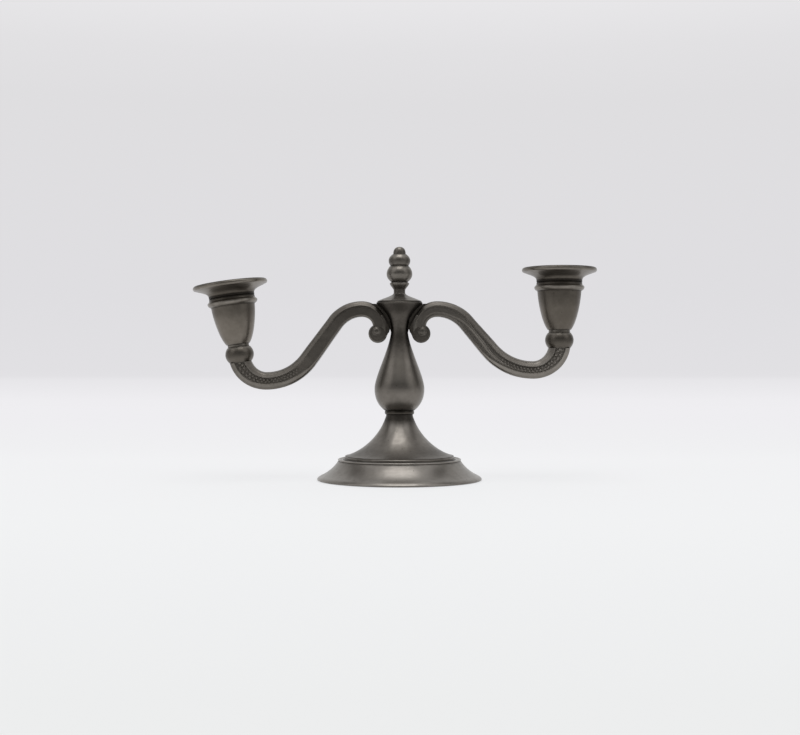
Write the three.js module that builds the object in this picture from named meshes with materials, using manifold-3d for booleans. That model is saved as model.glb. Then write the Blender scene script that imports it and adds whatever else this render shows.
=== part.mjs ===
// Two-light candelabra: flared round foot, baluster stem, two S-shaped scroll arms, lift-out drip pans.
// Millimetres, +Z up. The origin lies on the column's axis at the surface that the felt rests on.
// The arms run along X: the right one towards +X, the left one, which is bent lower, towards -X.
import * as THREE from "three";
import { mergeVertices } from "three/addons/utils/BufferGeometryUtils.js";
import Module from "manifold-3d";

const wasm = await Module();
wasm.setup();

// Driving dimensions
const gap = 0.3; // between seated faces, and round every rod, screw and spigot
const softEdge = 0.3; // rounding on turned corners
const tieRod = { radius: 2, standIn: 4.8, belowNut: 0.8 }; // standIn: how far it reaches into the finial
const foot = {
  rimRadius: 49.3, rimEdge: 0.6, rollWidth: 2.9, rollHeight: 2.8, wall: 1.5, // roll: the rounded-over rim
  ledgeRadius: 36.9, ledgeTop: 12.5, ledgeRound: 0.9, flangeRadius: 25,
};
const felt = { thickness: 1.2, proud: 0.3, clearance: 0.75 }; // clearance is to the skirt's wall
const board = { thickness: 1.4, clearance: 1.07 };
const bell = { setBack: 4.1, lip: 1.9, topRadius: 8, height: 26.6, neck: 0.7, crown: 3, wall: 1.6 };
const waist = { proud: 0.85, height: 1.8 };
const stem = {
  footProud: 0.05, bellyRadius: 14.95, bellyRise: 12.8, neckRadius: 5.1, neckRise: 34,
  hubRise: 16.8, rimRadius: 14, rimLip: 0.45, rimHeight: 1.3,
  wall: 2.2, floor: 3, hollowFoot: 3, neckCore: 12, // the baluster's hollow
  hubWall: 1.7, hubFloor: 6, // the hub's hollow
};
const roof = { inset: 0.7, height: 5.4, neckRadius: 3.44, neckHeight: 1.3 };
const bud = { rimRadius: 5.64, height: 4.6, grooveRadius: 5.3, grooveHeight: 0.8 };
const bigBall = { radius: 7.62, below: 4.4, above: 5 };
const midBall = { radius: 6.42, below: 3, above: 3.9, grooveRadius: 5.35 };
const tipBall = { height: 4.5, seatRadius: 3.7 };
const insert = { radius: 3.2, length: 2.8 };
const clampPlate = { lap: 5, thickness: 1.6 };
const tieWasher = { radius: 5, thickness: 0.9 };
const tieNut = { acrossFlats: 7, thickness: 2.2 };
const scroll = {
  fromAxis: 11.7, belowRim: 14.9, radius: 10.8,
  eyeRadius: 5.6, eyeDepth: 8.6, eyeRound: 1.8, eyeOut: 1, eyeDrop: 4,
  bossRadius: 2.7, bossHeight: 0.9, bossOut: 1.1, bossUp: 1,
};
const web = { thickness: 4.6, top: 1.2, bottom: 16 };

// How each arm is bent: its arcs' radii, and the diagonal's slope and the cup's lean in degrees.
const rightBend = {
  archRadius: 23.2, slope: 49.5, diagonalLength: 21.9, bowlRadius: 33.6, tipRadius: 16, lean: 0,
};
const leftBend = {
  archRadius: 19.8, slope: 54, diagonalLength: 27.5, bowlRadius: 30.8, tipRadius: 16.2, lean: 7.8,
};
const armStud = { radius: 1.5, belowRim: 4.5, length: 15, clearOfRod: 0.9 };
const armNut = { acrossFlats: 5.5, thickness: 2, back: 0.5 };
const knop = {
  radius: 8.5, swell: 7.4, below: 4.8, above: 4.4, // swell is the ball's upright half axis
  collarInset: 0.4, collarHeight: 1.5, sink: 2.9,
};
const cup = {
  footRadius: 6.8, bodyRadius: 12.9, bodyHeight: 23.2, wall: 1.5, floor: 2.4,
  beadRadius: 14.9, beadHeight: 4, topRadius: 13.7, rimHeight: 1.2, mouthFlare: 0.5,
};
const nozzle = {
  neckInset: 0.05, neckHeight: 0.9, panRadius: 22.3, panHeight: 8.5, rim: 3.7, rimRound: 1.4,
  spigot: 14, wall: 1, floor: 1, mouthFlare: 0.6, mouthRise: 1.4,
};
const cupScrew = { radius: 1.9, headRadius: 3.4, headHeight: 2.2, intoArm: 8 };

// The arm's section at each end of its five runs: height and depth, the bevels above and below the side
// panel, and how far the panel is sunk.
const armSections = {
  scroll: { height: 8.2, depth: 8.6, topBevel: 2.2, lowBevel: 0.8, sink: 0.1 },
  apex: { height: 9.3, depth: 9, topBevel: 2.7, lowBevel: 0.8, sink: 0.3 },
  shoulder: { height: 9.4, depth: 9.2, topBevel: 2.7, lowBevel: 1.6, sink: 0.6 },
  diagonalFoot: { height: 10.3, depth: 9.8, topBevel: 2.9, lowBevel: 2.7, sink: 0.9 },
  lowestPoint: { height: 10, depth: 10.4, topBevel: 2.8, lowBevel: 2.8, sink: 0.9 },
  tip: { height: 12.4, depth: 12, topBevel: 3, lowBevel: 3, sink: 0.4 },
};
const armTurn = 13; // degrees of bend between two sections along the arm
const diagonalSteps = 3; // sections along its straight run
const panelEdge = 0.5; // width of the step down into the side panel

// Finishes
const finish = (name, color, roughness, metalness) =>
  new THREE.MeshStandardMaterial({ name, color, roughness, metalness });
const finishes = {
  foot: finish("foot pewter", 0x6a6660, 0.4, 0.9),
  stem: finish("stem pewter", 0x5f5c57, 0.38, 0.9),
  arm: finish("arm pewter", 0x55524d, 0.42, 0.9),
  cup: finish("cup pewter", 0x5b5852, 0.4, 0.9),
  steel: finish("zinced steel", 0x9a9c9e, 0.4, 1),
  brass: finish("brass", 0xb08d4a, 0.35, 1),
  board: finish("fibre board", 0x6b5238, 0.9, 0),
  felt: finish("felt", 0x24332a, 1, 0),
};

// Welds shared corners and drops the triangles that a profile's end on the axis leaves without area.
function weld(geometry) {
  const bare = geometry.clone();
  bare.deleteAttribute("normal");
  bare.deleteAttribute("uv");
  const merged = mergeVertices(bare, 1e-4);
  const index = merged.getIndex().array;
  const kept = [];
  for (let i = 0; i < index.length; i += 3) {
    const [a, b, c] = [index[i], index[i + 1], index[i + 2]];
    if (a !== b && b !== c && c !== a) {
      kept.push(a, b, c);
    }
  }
  merged.setIndex(kept);
  return merged;
}

function toSolid(geometry) {
  const welded = weld(geometry);
  return new wasm.Manifold(new wasm.Mesh({
    numProp: 3,
    vertProperties: new Float32Array(welded.getAttribute("position").array),
    triVerts: new Uint32Array(welded.getIndex().array),
  }));
}

function toGeometry(solid) {
  const mesh = solid.getMesh();
  const geometry = new THREE.BufferGeometry();
  geometry.setAttribute("position", new THREE.BufferAttribute(new Float32Array(mesh.vertProperties), 3));
  geometry.setIndex(new THREE.BufferAttribute(new Uint32Array(mesh.triVerts), 1));
  geometry.computeVertexNormals();
  return geometry;
}

// Turns a profile of (radius, height) points about Z, whichever way round it is drawn.
function turned(points, segments) {
  const profile = points.map((p) => new THREE.Vector2(Math.abs(p.x) < 1e-6 ? 0 : p.x, p.y));
  const onAxis = profile[0].x === 0 && profile[profile.length - 1].x === 0;
  if (!onAxis) {
    profile.push(profile[0].clone());
  }
  if (THREE.ShapeUtils.area(profile) < 0) {
    profile.reverse();
  }
  const geometry = new THREE.LatheGeometry(profile, segments);
  geometry.rotateX(Math.PI / 2);
  return weld(geometry);
}

// Adds to a path a cubic curve to (r, z). first and second place its handles, as shares of the way there.
function curveTo(path, r, z, first, second) {
  const { x, y } = path.currentPoint;
  const dr = r - x;
  const dz = z - y;
  return path.bezierCurveTo(x + dr * first[0], y + dz * first[1],
    x + dr * second[0], y + dz * second[1], r, z);
}

// The points of one such curve by itself.
function curvePoints(from, to, first, second, steps) {
  return curveTo(new THREE.Path().moveTo(...from), ...to, first, second).getPoints(steps);
}

// The same line moved by a distance to its left, for the inner face of a wall.
function offset(points, distance) {
  return points.map((p, i) => {
    const before = points[Math.max(i - 1, 0)];
    const after = points[Math.min(i + 1, points.length - 1)];
    const along = after.clone().sub(before).normalize();
    return new THREE.Vector2(p.x - along.y * distance, p.y + along.x * distance);
  });
}

const at = (r, z) => new THREE.Vector2(r, z);

// The radius of a rising line at one height, carried on straight past its ends.
function radiusAt(points, z) {
  const reached = points.findIndex((p) => p.y >= z);
  const i = reached < 0 ? points.length - 1 : Math.max(1, reached);
  const [low, high] = [points[i - 1], points[i]];
  return THREE.MathUtils.mapLinear(z, low.y, high.y, low.x, high.x);
}

// The part of a rising line between two heights, with a point at each of them.
const between = (points, low, high) => [
  at(radiusAt(points, low), low),
  ...points.filter((p) => p.y > low + softEdge / 2 && p.y < high - softEdge / 2),
  at(radiusAt(points, high), high),
];

// A plain rod or disc about Z from one height to another.
const rod = (radius, bottom, top, segments = 20) =>
  turned([at(0, bottom), at(radius, bottom), at(radius, top), at(0, top)], segments);

// A hexagon nut about Z with a round bore.
function hexNut(acrossFlats, bore, thickness) {
  const corner = acrossFlats / Math.sqrt(3);
  const outline = new THREE.Shape();
  for (let i = 0; i < 6; i += 1) {
    const angle = (i * Math.PI) / 3;
    const go = i === 0 ? "moveTo" : "lineTo";
    outline[go](corner * Math.cos(angle), corner * Math.sin(angle));
  }
  outline.closePath();
  outline.holes.push(new THREE.Path().absarc(0, 0, bore, 0, 2 * Math.PI, true));
  const extrusion = { depth: thickness, bevelEnabled: false, curveSegments: 8 };
  return weld(new THREE.ExtrudeGeometry(outline, extrusion));
}

// Heights of the seats up the column, and the radii that follow from them
const rodBore = tieRod.radius + gap;
const rimBottom = felt.proud;
const boardBottom = felt.thickness + gap;
const bellBottom = foot.ledgeTop + gap;
const bellTop = bellBottom + bell.height;
const waistBottom = bellTop + gap;
const stemBottom = waistBottom + waist.height + gap;
const bellyHeight = stemBottom + stem.bellyRise;
const neckHeight = bellyHeight + stem.neckRise;
const rimHeight = neckHeight + stem.hubRise;
const stemTop = rimHeight + stem.rimHeight;
const finialBottom = stemTop + gap;
const plateTop = foot.ledgeTop - foot.wall - gap;
const plateBottom = plateTop - clampPlate.thickness;
const tieWasherTop = plateBottom - gap;
const tieNutTop = tieWasherTop - tieWasher.thickness - gap;
const boardTop = boardBottom + board.thickness;
const bellEdge = foot.ledgeRadius - bell.setBack;
const waistRadius = bell.topRadius + waist.proud;
const studFromAxis = tieRod.radius + armStud.clearOfRod;

// The skirt's flare from its ledge over its rolled rim, and the inner face of its wall from the rim up.
const rollTop = [foot.rimRadius - foot.rollWidth, rimBottom + foot.rollHeight];
const roll = curvePoints(rollTop, [foot.rimRadius, rimBottom + foot.rimEdge], [0.45, 0.27], [0.92, 0.62], 2);
const flare = [
  ...curvePoints([foot.ledgeRadius, foot.ledgeTop - foot.ledgeRound], rollTop, [0.1, 0.2], [0.45, 0.7], 4),
  ...roll.slice(1),
];
const skirtInside = between(offset(flare, -foot.wall).reverse(), rimBottom, foot.ledgeTop - foot.wall);

// Lower foot: a thin flared skirt with a ledge that carries the bell, open underneath.
function footSkirt() {
  return turned([
    at(foot.flangeRadius, foot.ledgeTop),
    at(foot.ledgeRadius - foot.ledgeRound, foot.ledgeTop),
    at(foot.ledgeRadius - 0.3 * foot.ledgeRound, foot.ledgeTop - 0.3 * foot.ledgeRound),
    ...flare,
    at(foot.rimRadius - foot.rimEdge, rimBottom),
    ...skirtInside,
    at(foot.flangeRadius, foot.ledgeTop - foot.wall),
  ], 36);
}

// Upper foot: a hollow concave bell standing on the ledge.
function footBell() {
  const shoulder = bellTop - bell.neck;
  const lipTop = bellBottom + bell.lip;
  const outside = curvePoints([bellEdge - softEdge, lipTop], [bell.topRadius, shoulder], [0.38, 0.08],
    [0.85, 0.48], 7);
  const roomTop = bellTop - bell.crown;
  const inside = between(offset(outside, bell.wall), bellBottom, roomTop);
  return turned([
    at(bellEdge, bellBottom),
    at(bellEdge, lipTop - softEdge),
    ...outside,
    at(bell.topRadius - softEdge, bellTop),
    at(rodBore, bellTop),
    at(rodBore, roomTop),
    ...inside.reverse(),
  ], 32);
}

// Waist ring: the flat bead between bell and baluster.
function waistRing() {
  const edge = waist.height / 4;
  return turned([
    at(rodBore, waistBottom),
    at(waistRadius - edge, waistBottom),
    at(waistRadius, waistBottom + edge),
    at(waistRadius, waistBottom + waist.height - edge),
    at(waistRadius - edge, waistBottom + waist.height),
    at(rodBore, waistBottom + waist.height),
  ], 20);
}

// The line of the trumpet-shaped hub from the neck up to its rim.
const hubLine = curvePoints([stem.neckRadius, neckHeight], [stem.rimRadius - stem.rimLip, rimHeight],
  [0, 0.5], [0.383, 0.714], 6);
const studHeight = stemTop - armStud.belowRim;

// Stem: hollow baluster and trumpet hub in one casting, bored for the tie rod and for the arms' studs.
function stemBody() {
  const outside = new THREE.Path().moveTo(waistRadius + stem.footProud, stemBottom);
  curveTo(outside, stem.bellyRadius, bellyHeight, [0.53, 0.18], [1, 0.53]);
  curveTo(outside, stem.neckRadius, neckHeight, [0, 0.232], [0.875, 0.674]);
  const hollow = new THREE.Path().moveTo(rodBore, neckHeight - stem.neckCore);
  curveTo(hollow, stem.bellyRadius - stem.wall, bellyHeight, [0.125, 0.326], [1, 0.768]);
  curveTo(hollow, rodBore + stem.hollowFoot, stemBottom + stem.floor, [0, 0.44], [0.56, 0.835]);
  const hubFloor = neckHeight + stem.hubFloor;
  const rimInside = at(stem.rimRadius - stem.hubWall, stemTop);
  const hubRoom = between([...offset(hubLine, stem.hubWall), rimInside], hubFloor, stemTop);
  const body = toSolid(turned([
    at(rodBore, stemBottom),
    ...outside.getPoints(5),
    ...hubLine.slice(1),
    at(stem.rimRadius, rimHeight + 0.4 * stem.rimHeight),
    at(stem.rimRadius - softEdge, stemTop),
    ...hubRoom.reverse(),
    at(rodBore, hubFloor),
    ...hollow.getPoints(3),
    at(rodBore, stemBottom + stem.floor),
  ], 24));
  const studHole = rod(armStud.radius + gap, -2 * stem.rimRadius, 2 * stem.rimRadius, 12);
  studHole.rotateY(Math.PI / 2);
  studHole.translate(0, 0, studHeight);
  return toGeometry(body.subtract(toSolid(studHole)));
}

// Finial: conical roof over the hub, slim neck, bud and three stacked balls, bored for insert and rod.
function finialBody() {
  const z0 = finialBottom;
  const neckFoot = z0 + roof.height;
  const neckTop = neckFoot + roof.neckHeight;
  const budTop = neckTop + bud.height;
  const bigFoot = budTop + bud.grooveHeight;
  const bigMiddle = bigFoot + bigBall.below;
  const midFoot = bigMiddle + bigBall.above;
  const midMiddle = midFoot + midBall.below;
  const tipFoot = midMiddle + midBall.above;
  // The upright half axis of an ellipse that is seat wide at the given reach from its middle.
  const arc = (radius, seat, reach) => reach / Math.sqrt(1 - (seat / radius) ** 2);
  const path = new THREE.Path().moveTo(insert.radius + gap, z0);
  path.lineTo(stem.rimRadius - roof.inset, z0);
  path.lineTo(stem.rimRadius - roof.inset, z0 + softEdge);
  curveTo(path, roof.neckRadius, neckFoot, [0.6, 0.52], [1, 0.66]);
  path.lineTo(roof.neckRadius, neckTop);
  curveTo(path, bud.rimRadius, budTop - 2 * softEdge, [0, 0.38], [0.95, 0.72]);
  path.lineTo(bud.rimRadius - softEdge, budTop);
  path.lineTo(bud.grooveRadius - softEdge, budTop + 0.3 * bud.grooveHeight);
  path.lineTo(bud.grooveRadius, bigFoot);
  const ball = (middle, size, seatBelow, seatAbove) => {
    const low = arc(size.radius, seatBelow, size.below);
    const high = arc(size.radius, seatAbove, size.above);
    path.absellipse(0, middle, size.radius, low, -Math.asin(size.below / low), 0, false);
    path.absellipse(0, middle, size.radius, high, 0, Math.asin(size.above / high), false);
  };
  ball(bigMiddle, bigBall, bud.grooveRadius, midBall.grooveRadius);
  ball(midMiddle, midBall, midBall.grooveRadius, tipBall.seatRadius + softEdge);
  path.lineTo(tipBall.seatRadius, tipFoot);
  curveTo(path, 0, tipFoot + tipBall.height, [-0.02, 0.62], [0.3, 1]);
  const boreTop = z0 + insert.length + 2 * gap;
  return turned([
    ...path.getPoints(3),
    at(0, z0 + tieRod.standIn + gap),
    at(rodBore, z0 + tieRod.standIn + gap),
    at(rodBore, boreTop),
    at(insert.radius + gap, boreTop),
  ], 18);
}

// Points along the arm's centreline in the plane of X and Z, each with its heading and place on the runs.
function armLine(bend) {
  const quarter = Math.PI / 2;
  const slope = THREE.MathUtils.degToRad(bend.slope);
  const runs = [
    { radius: scroll.radius, turn: -quarter },
    { radius: bend.archRadius, turn: -slope },
    { length: bend.diagonalLength, turn: 0 },
    { radius: bend.bowlRadius, turn: slope },
    { radius: bend.tipRadius, turn: quarter - THREE.MathUtils.degToRad(bend.lean) },
  ];
  let [x, z, heading] = [scroll.fromAxis, stemTop - scroll.belowRim, quarter];
  const line = [{ x, z, heading, run: 0 }];
  runs.forEach((run, number) => {
    const length = run.length ?? run.radius * Math.abs(run.turn);
    const degrees = THREE.MathUtils.radToDeg(Math.abs(run.turn));
    const steps = run.length ? diagonalSteps : Math.ceil(degrees / armTurn);
    for (let i = 1; i <= steps; i += 1) {
      const half = run.turn / steps / 2;
      const chord = run.length ? length / steps : 2 * run.radius * Math.sin(Math.abs(half));
      x += chord * Math.cos(heading + half);
      z += chord * Math.sin(heading + half);
      heading += 2 * half;
      line.push({ x, z, heading, run: number + i / steps });
    }
  });
  return line;
}

// The arm's section at a place on its runs, as (across, depth) points round the centreline.
function armSection(run) {
  const sections = Object.values(armSections);
  const first = Math.min(Math.floor(run), sections.length - 2);
  const share = THREE.MathUtils.smoothstep(run - first, 0, 1);
  const size = (name) => THREE.MathUtils.lerp(sections[first][name], sections[first + 1][name], share);
  const [h, d] = [size("height") / 2, size("depth") / 2];
  const [top, low, sink] = [size("topBevel"), size("lowBevel"), size("sink")];
  const half = [
    [h, 0.36 * d],
    [h - 0.32 * top, 0.78 * d],
    [h - top, d],
    [h - top - panelEdge, d - sink],
    [-h + low + panelEdge, d - sink],
    [-h + low, d],
    [-h + 0.32 * low, d - 0.22 * low],
    [-h, d - 0.64 * low],
  ];
  return [...half, ...half.map(([across, depth]) => [across, -depth]).reverse()];
}

// Skins a row of sections with equal numbers of points and closes both ends.
function loft(rings) {
  const count = rings[0].length;
  const middle = (ring) => ring.reduce((sum, p) => sum.add(p), new THREE.Vector3()).divideScalar(count);
  const points = [...rings.flat(), middle(rings[0]), middle(rings[rings.length - 1])];
  const faces = [];
  for (let i = 0; i < rings.length - 1; i += 1) {
    for (let j = 0; j < count; j += 1) {
      const [a, b] = [i * count + j, i * count + ((j + 1) % count)];
      faces.push(a, a + count, b, b, a + count, b + count);
    }
  }
  const last = (rings.length - 1) * count;
  for (let j = 0; j < count; j += 1) {
    const next = (j + 1) % count;
    faces.push(rings.length * count, j, next);
    faces.push(rings.length * count + 1, last + next, last + j);
  }
  const geometry = new THREE.BufferGeometry().setFromPoints(points);
  geometry.setIndex(faces);
  return geometry;
}

// Where the knop's foot stands on the bent arm, and the direction of the cup's axis there.
function armTip(bend) {
  const end = armLine(bend).pop();
  const lean = THREE.MathUtils.degToRad(bend.lean);
  return { x: end.x - knop.sink * Math.sin(lean), z: end.z - knop.sink * Math.cos(lean), lean };
}

// Arm: swept limb with sunken side panels, scroll eye with a boss on each side, and a web at the hub.
function armBody(bend) {
  const limb = loft(armLine(bend).map(({ x, z, heading, run }) => armSection(run).map(([across, depth]) =>
    new THREE.Vector3(x - across * Math.sin(heading), depth, z + across * Math.cos(heading)))));

  const eyeX = scroll.fromAxis + scroll.eyeOut;
  const eyeZ = stemTop - scroll.belowRim - scroll.eyeDrop;
  const deep = scroll.eyeDepth / 2;
  const [round, bevel] = [scroll.eyeRound, 0.3 * scroll.eyeRound];
  const eye = turned([
    at(0, -deep),
    at(scroll.eyeRadius - round, -deep),
    at(scroll.eyeRadius - bevel, -deep + bevel),
    at(scroll.eyeRadius, -deep + round),
    at(scroll.eyeRadius, deep - round),
    at(scroll.eyeRadius - bevel, deep - bevel),
    at(scroll.eyeRadius - round, deep),
    at(0, deep),
  ], 20);
  eye.rotateX(Math.PI / 2);
  eye.translate(eyeX, 0, eyeZ);

  const peak = deep + scroll.bossHeight;
  const dome = 0.7 * scroll.bossHeight;
  const boss = turned([
    at(0, -peak),
    at(0.6 * scroll.bossRadius, -deep - dome),
    at(scroll.bossRadius, -deep),
    at(scroll.bossRadius, deep),
    at(0.6 * scroll.bossRadius, deep + dome),
    at(0, peak),
  ], 12);
  boss.rotateX(Math.PI / 2);
  boss.translate(eyeX + scroll.bossOut, 0, eyeZ + scroll.bossUp);

  const webTop = rimHeight - web.top;
  const webBottom = rimHeight - web.bottom;
  const plate = new THREE.BoxGeometry(scroll.fromAxis, web.thickness, webTop - webBottom);
  plate.translate(scroll.fromAxis / 2, 0, (webTop + webBottom) / 2);

  const clearance = turned([
    at(0, 0),
    at(stem.neckRadius + gap, 0),
    ...offset(hubLine, -gap),
    at(stem.rimRadius + gap, rimHeight),
    at(stem.rimRadius + gap, stemTop + stem.rimRadius),
    at(0, stemTop + stem.rimRadius),
  ], 24);

  const studHole = rod(armStud.radius + gap, 0, studFromAxis + armStud.length + gap, 12);
  studHole.rotateY(Math.PI / 2);
  studHole.translate(0, 0, studHeight);

  const tip = armTip(bend);
  const aboveTip = new THREE.BoxGeometry(4 * knop.radius, 4 * knop.radius, 4 * knop.radius);
  aboveTip.translate(0, 0, 2 * knop.radius - gap);
  const screwHole = rod(cupScrew.radius + gap, -cupScrew.intoArm - gap, knop.below, 12);
  for (const tool of [aboveTip, screwHole]) {
    tool.rotateY(tip.lean);
    tool.translate(tip.x, 0, tip.z);
  }

  const solid = toSolid(limb).add(toSolid(eye)).add(toSolid(boss)).add(toSolid(plate));
  return toGeometry([clearance, studHole, aboveTip, screwHole]
    .reduce((arm, tool) => arm.subtract(toSolid(tool)), solid));
}

// Heights above the arm's tip, along the cup's axis
const knopTop = knop.below + knop.above + knop.collarHeight;
const cupBottom = knopTop + gap;
const cupRim = cupBottom + cup.bodyHeight + cup.beadHeight + cup.rimHeight;
const nozzleSeat = cupRim + gap;

// Knop: the squashed ball under the cup, with a thin collar.
function knopBody() {
  const path = new THREE.Path();
  path.absellipse(0, knop.below, knop.radius, knop.swell, -Math.asin(knop.below / knop.swell),
    Math.asin(knop.above / knop.swell), false);
  const bore = cupScrew.radius + gap;
  return turned([
    at(bore, 0),
    ...path.getPoints(3),
    at(cup.footRadius - knop.collarInset, knop.below + knop.above + softEdge / 2),
    at(cup.footRadius - knop.collarInset, knopTop),
    at(bore, knopTop),
  ], 20);
}

// The cup's line from its foot to its bead, and the inner face of its wall from the floor upwards.
const cupLine = curvePoints([cup.footRadius, cupBottom], [cup.bodyRadius, cupBottom + cup.bodyHeight],
  [0.381, 0.207], [0.857, 0.511], 5);
const cupMouth = cup.bodyRadius - cup.wall + cup.mouthFlare;
const cupWall = [...offset(cupLine, cup.wall), at(cupMouth, cupRim)];
const cupRoom = between(cupWall, cupBottom + cup.floor, cupRim);

// Cup: tapered hollow body with a bead below its rim, screwed down through its floor.
function cupBody() {
  const beadFoot = cupBottom + cup.bodyHeight;
  const beadTop = beadFoot + cup.beadHeight;
  const outside = new THREE.Path().moveTo(cup.bodyRadius, beadFoot);
  curveTo(outside, cup.beadRadius, beadFoot + 0.55 * cup.beadHeight, [0.9, 0.1], [1, 0.5]);
  curveTo(outside, cup.topRadius, beadTop, [0, 0.45], [0.9, 0.6]);
  const bore = cupScrew.radius + gap;
  return turned([
    at(bore, cupBottom),
    ...cupLine,
    ...outside.getPoints(3).slice(1),
    at(cup.topRadius, cupRim),
    ...[...cupRoom].reverse(),
    at(bore, cupBottom + cup.floor),
  ], 24);
}

// Nozzle: drip pan, neck and closed candle tube in one piece, whose spigot hangs in the cup.
function nozzleBody() {
  const foot = nozzleSeat - nozzle.spigot;
  const spigot = offset(between(cupRoom, foot, cupRim), gap);
  const tube = between(offset(spigot, nozzle.wall), foot + nozzle.floor, cupRim);
  const neckRadius = cup.topRadius - nozzle.neckInset;
  const neckTop = nozzleSeat + nozzle.neckHeight;
  const rimFoot = nozzleSeat + nozzle.panHeight - nozzle.rim;
  const panTop = nozzleSeat + nozzle.panHeight;
  const under = new THREE.Path().moveTo(neckRadius, neckTop);
  curveTo(under, nozzle.panRadius - nozzle.rimRound, rimFoot, [0, 0.5], [0.4, 0.66]);
  const edge = new THREE.Path().absellipse(nozzle.panRadius - nozzle.rimRound, (rimFoot + panTop) / 2,
    nozzle.rimRound, nozzle.rim / 2, -Math.PI / 2, Math.PI / 2, false);
  const over = new THREE.Path().moveTo(nozzle.panRadius - nozzle.rimRound, panTop);
  curveTo(over, radiusAt(tube, cupRim) + nozzle.mouthFlare, neckTop + nozzle.mouthRise,
    [0.1, 0.42], [0.5, 0.68]);
  return turned([
    at(0, spigot[0].y),
    ...spigot,
    at(spigot[spigot.length - 1].x, nozzleSeat),
    at(neckRadius, nozzleSeat),
    ...under.getPoints(4),
    ...edge.getPoints(2).slice(1, -1),
    ...over.getPoints(3),
    ...tube.reverse(),
    at(0, foot + nozzle.floor),
  ], 24);
}

// Screw through the cup's floor and the knop into the arm's tip.
function cupScrewBody() {
  const seat = cupBottom + cup.floor + gap;
  const head = seat + cupScrew.headHeight;
  return turned([
    at(0, -cupScrew.intoArm),
    at(cupScrew.radius, -cupScrew.intoArm),
    at(cupScrew.radius, seat),
    at(cupScrew.headRadius, seat),
    at(cupScrew.headRadius, head - 0.5 * cupScrew.headHeight),
    at(0.6 * cupScrew.headRadius, head),
    at(0, head),
  ], 16);
}

const candelabra = new THREE.Group();

function place(parent, name, geometry, material) {
  const mesh = new THREE.Mesh(geometry, material);
  mesh.name = name;
  parent.add(mesh);
  return mesh;
}

// Foot and column
place(candelabra, "foot_skirt", footSkirt(), finishes.foot);
place(candelabra, "foot_bell", footBell(), finishes.foot);
place(candelabra, "waist_ring", waistRing(), finishes.stem);
place(candelabra, "stem", stemBody(), finishes.stem);
place(candelabra, "finial", finialBody(), finishes.stem);

// What holds them together
const washer = (bore, radius, bottom, thickness, segments) => turned([
  at(bore, bottom),
  at(radius, bottom),
  at(radius, bottom + thickness),
  at(bore, bottom + thickness),
], segments);
place(candelabra, "finial_insert", washer(rodBore, insert.radius, finialBottom + gap, insert.length, 20),
  finishes.brass);
place(candelabra, "tie_rod", rod(tieRod.radius, tieNutTop - tieNut.thickness - tieRod.belowNut,
  finialBottom + tieRod.standIn), finishes.steel);
place(candelabra, "clamp_plate", washer(rodBore, foot.flangeRadius + clampPlate.lap, plateBottom,
  clampPlate.thickness, 28),
  finishes.steel);
place(candelabra, "tie_washer", washer(rodBore, tieWasher.radius, tieWasherTop - tieWasher.thickness,
  tieWasher.thickness, 18), finishes.steel);
place(candelabra, "tie_nut", hexNut(tieNut.acrossFlats, rodBore, tieNut.thickness), finishes.steel)
  .position.z = tieNutTop - tieNut.thickness;

// What closes the foot
const boardRadius = radiusAt(skirtInside, boardTop) - board.clearance;
const feltRadius = radiusAt(skirtInside, felt.thickness) - felt.clearance;
place(candelabra, "base_board", rod(boardRadius, boardBottom, boardTop, 36), finishes.board);
place(candelabra, "base_felt", rod(feltRadius, 0, felt.thickness, 36), finishes.felt);

// The two arms: the left one is the same casting turned about the column and bent further down.
for (const [side, bend] of [["left", leftBend], ["right", rightBend]]) {
  const limb = new THREE.Group();
  limb.rotation.z = side === "left" ? Math.PI : 0;
  candelabra.add(limb);

  place(limb, `arm_${side}`, armBody(bend), finishes.arm);
  const studRod = rod(armStud.radius, 0, armStud.length, 16);
  const stud = place(limb, `arm_stud_${side}`, studRod, finishes.steel);
  stud.rotation.y = Math.PI / 2;
  stud.position.set(studFromAxis, 0, studHeight);
  const studNut = hexNut(armNut.acrossFlats, armStud.radius + gap, armNut.thickness);
  const nut = place(limb, `arm_nut_${side}`, studNut, finishes.steel);
  nut.rotation.y = Math.PI / 2;
  nut.position.set(studFromAxis + armNut.back, 0, studHeight);

  const tip = armTip(bend);
  const light = new THREE.Group();
  light.position.set(tip.x, 0, tip.z);
  light.rotation.y = tip.lean;
  limb.add(light);
  place(light, `knop_${side}`, knopBody(), finishes.cup);
  place(light, `cup_${side}`, cupBody(), finishes.cup);
  place(light, `nozzle_${side}`, nozzleBody(), finishes.cup);
  place(light, `cup_screw_${side}`, cupScrewBody(), finishes.steel);
}

export default candelabra;
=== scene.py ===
import math
import random

import bmesh
import bpy
from mathutils import Matrix, Vector, noise


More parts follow.
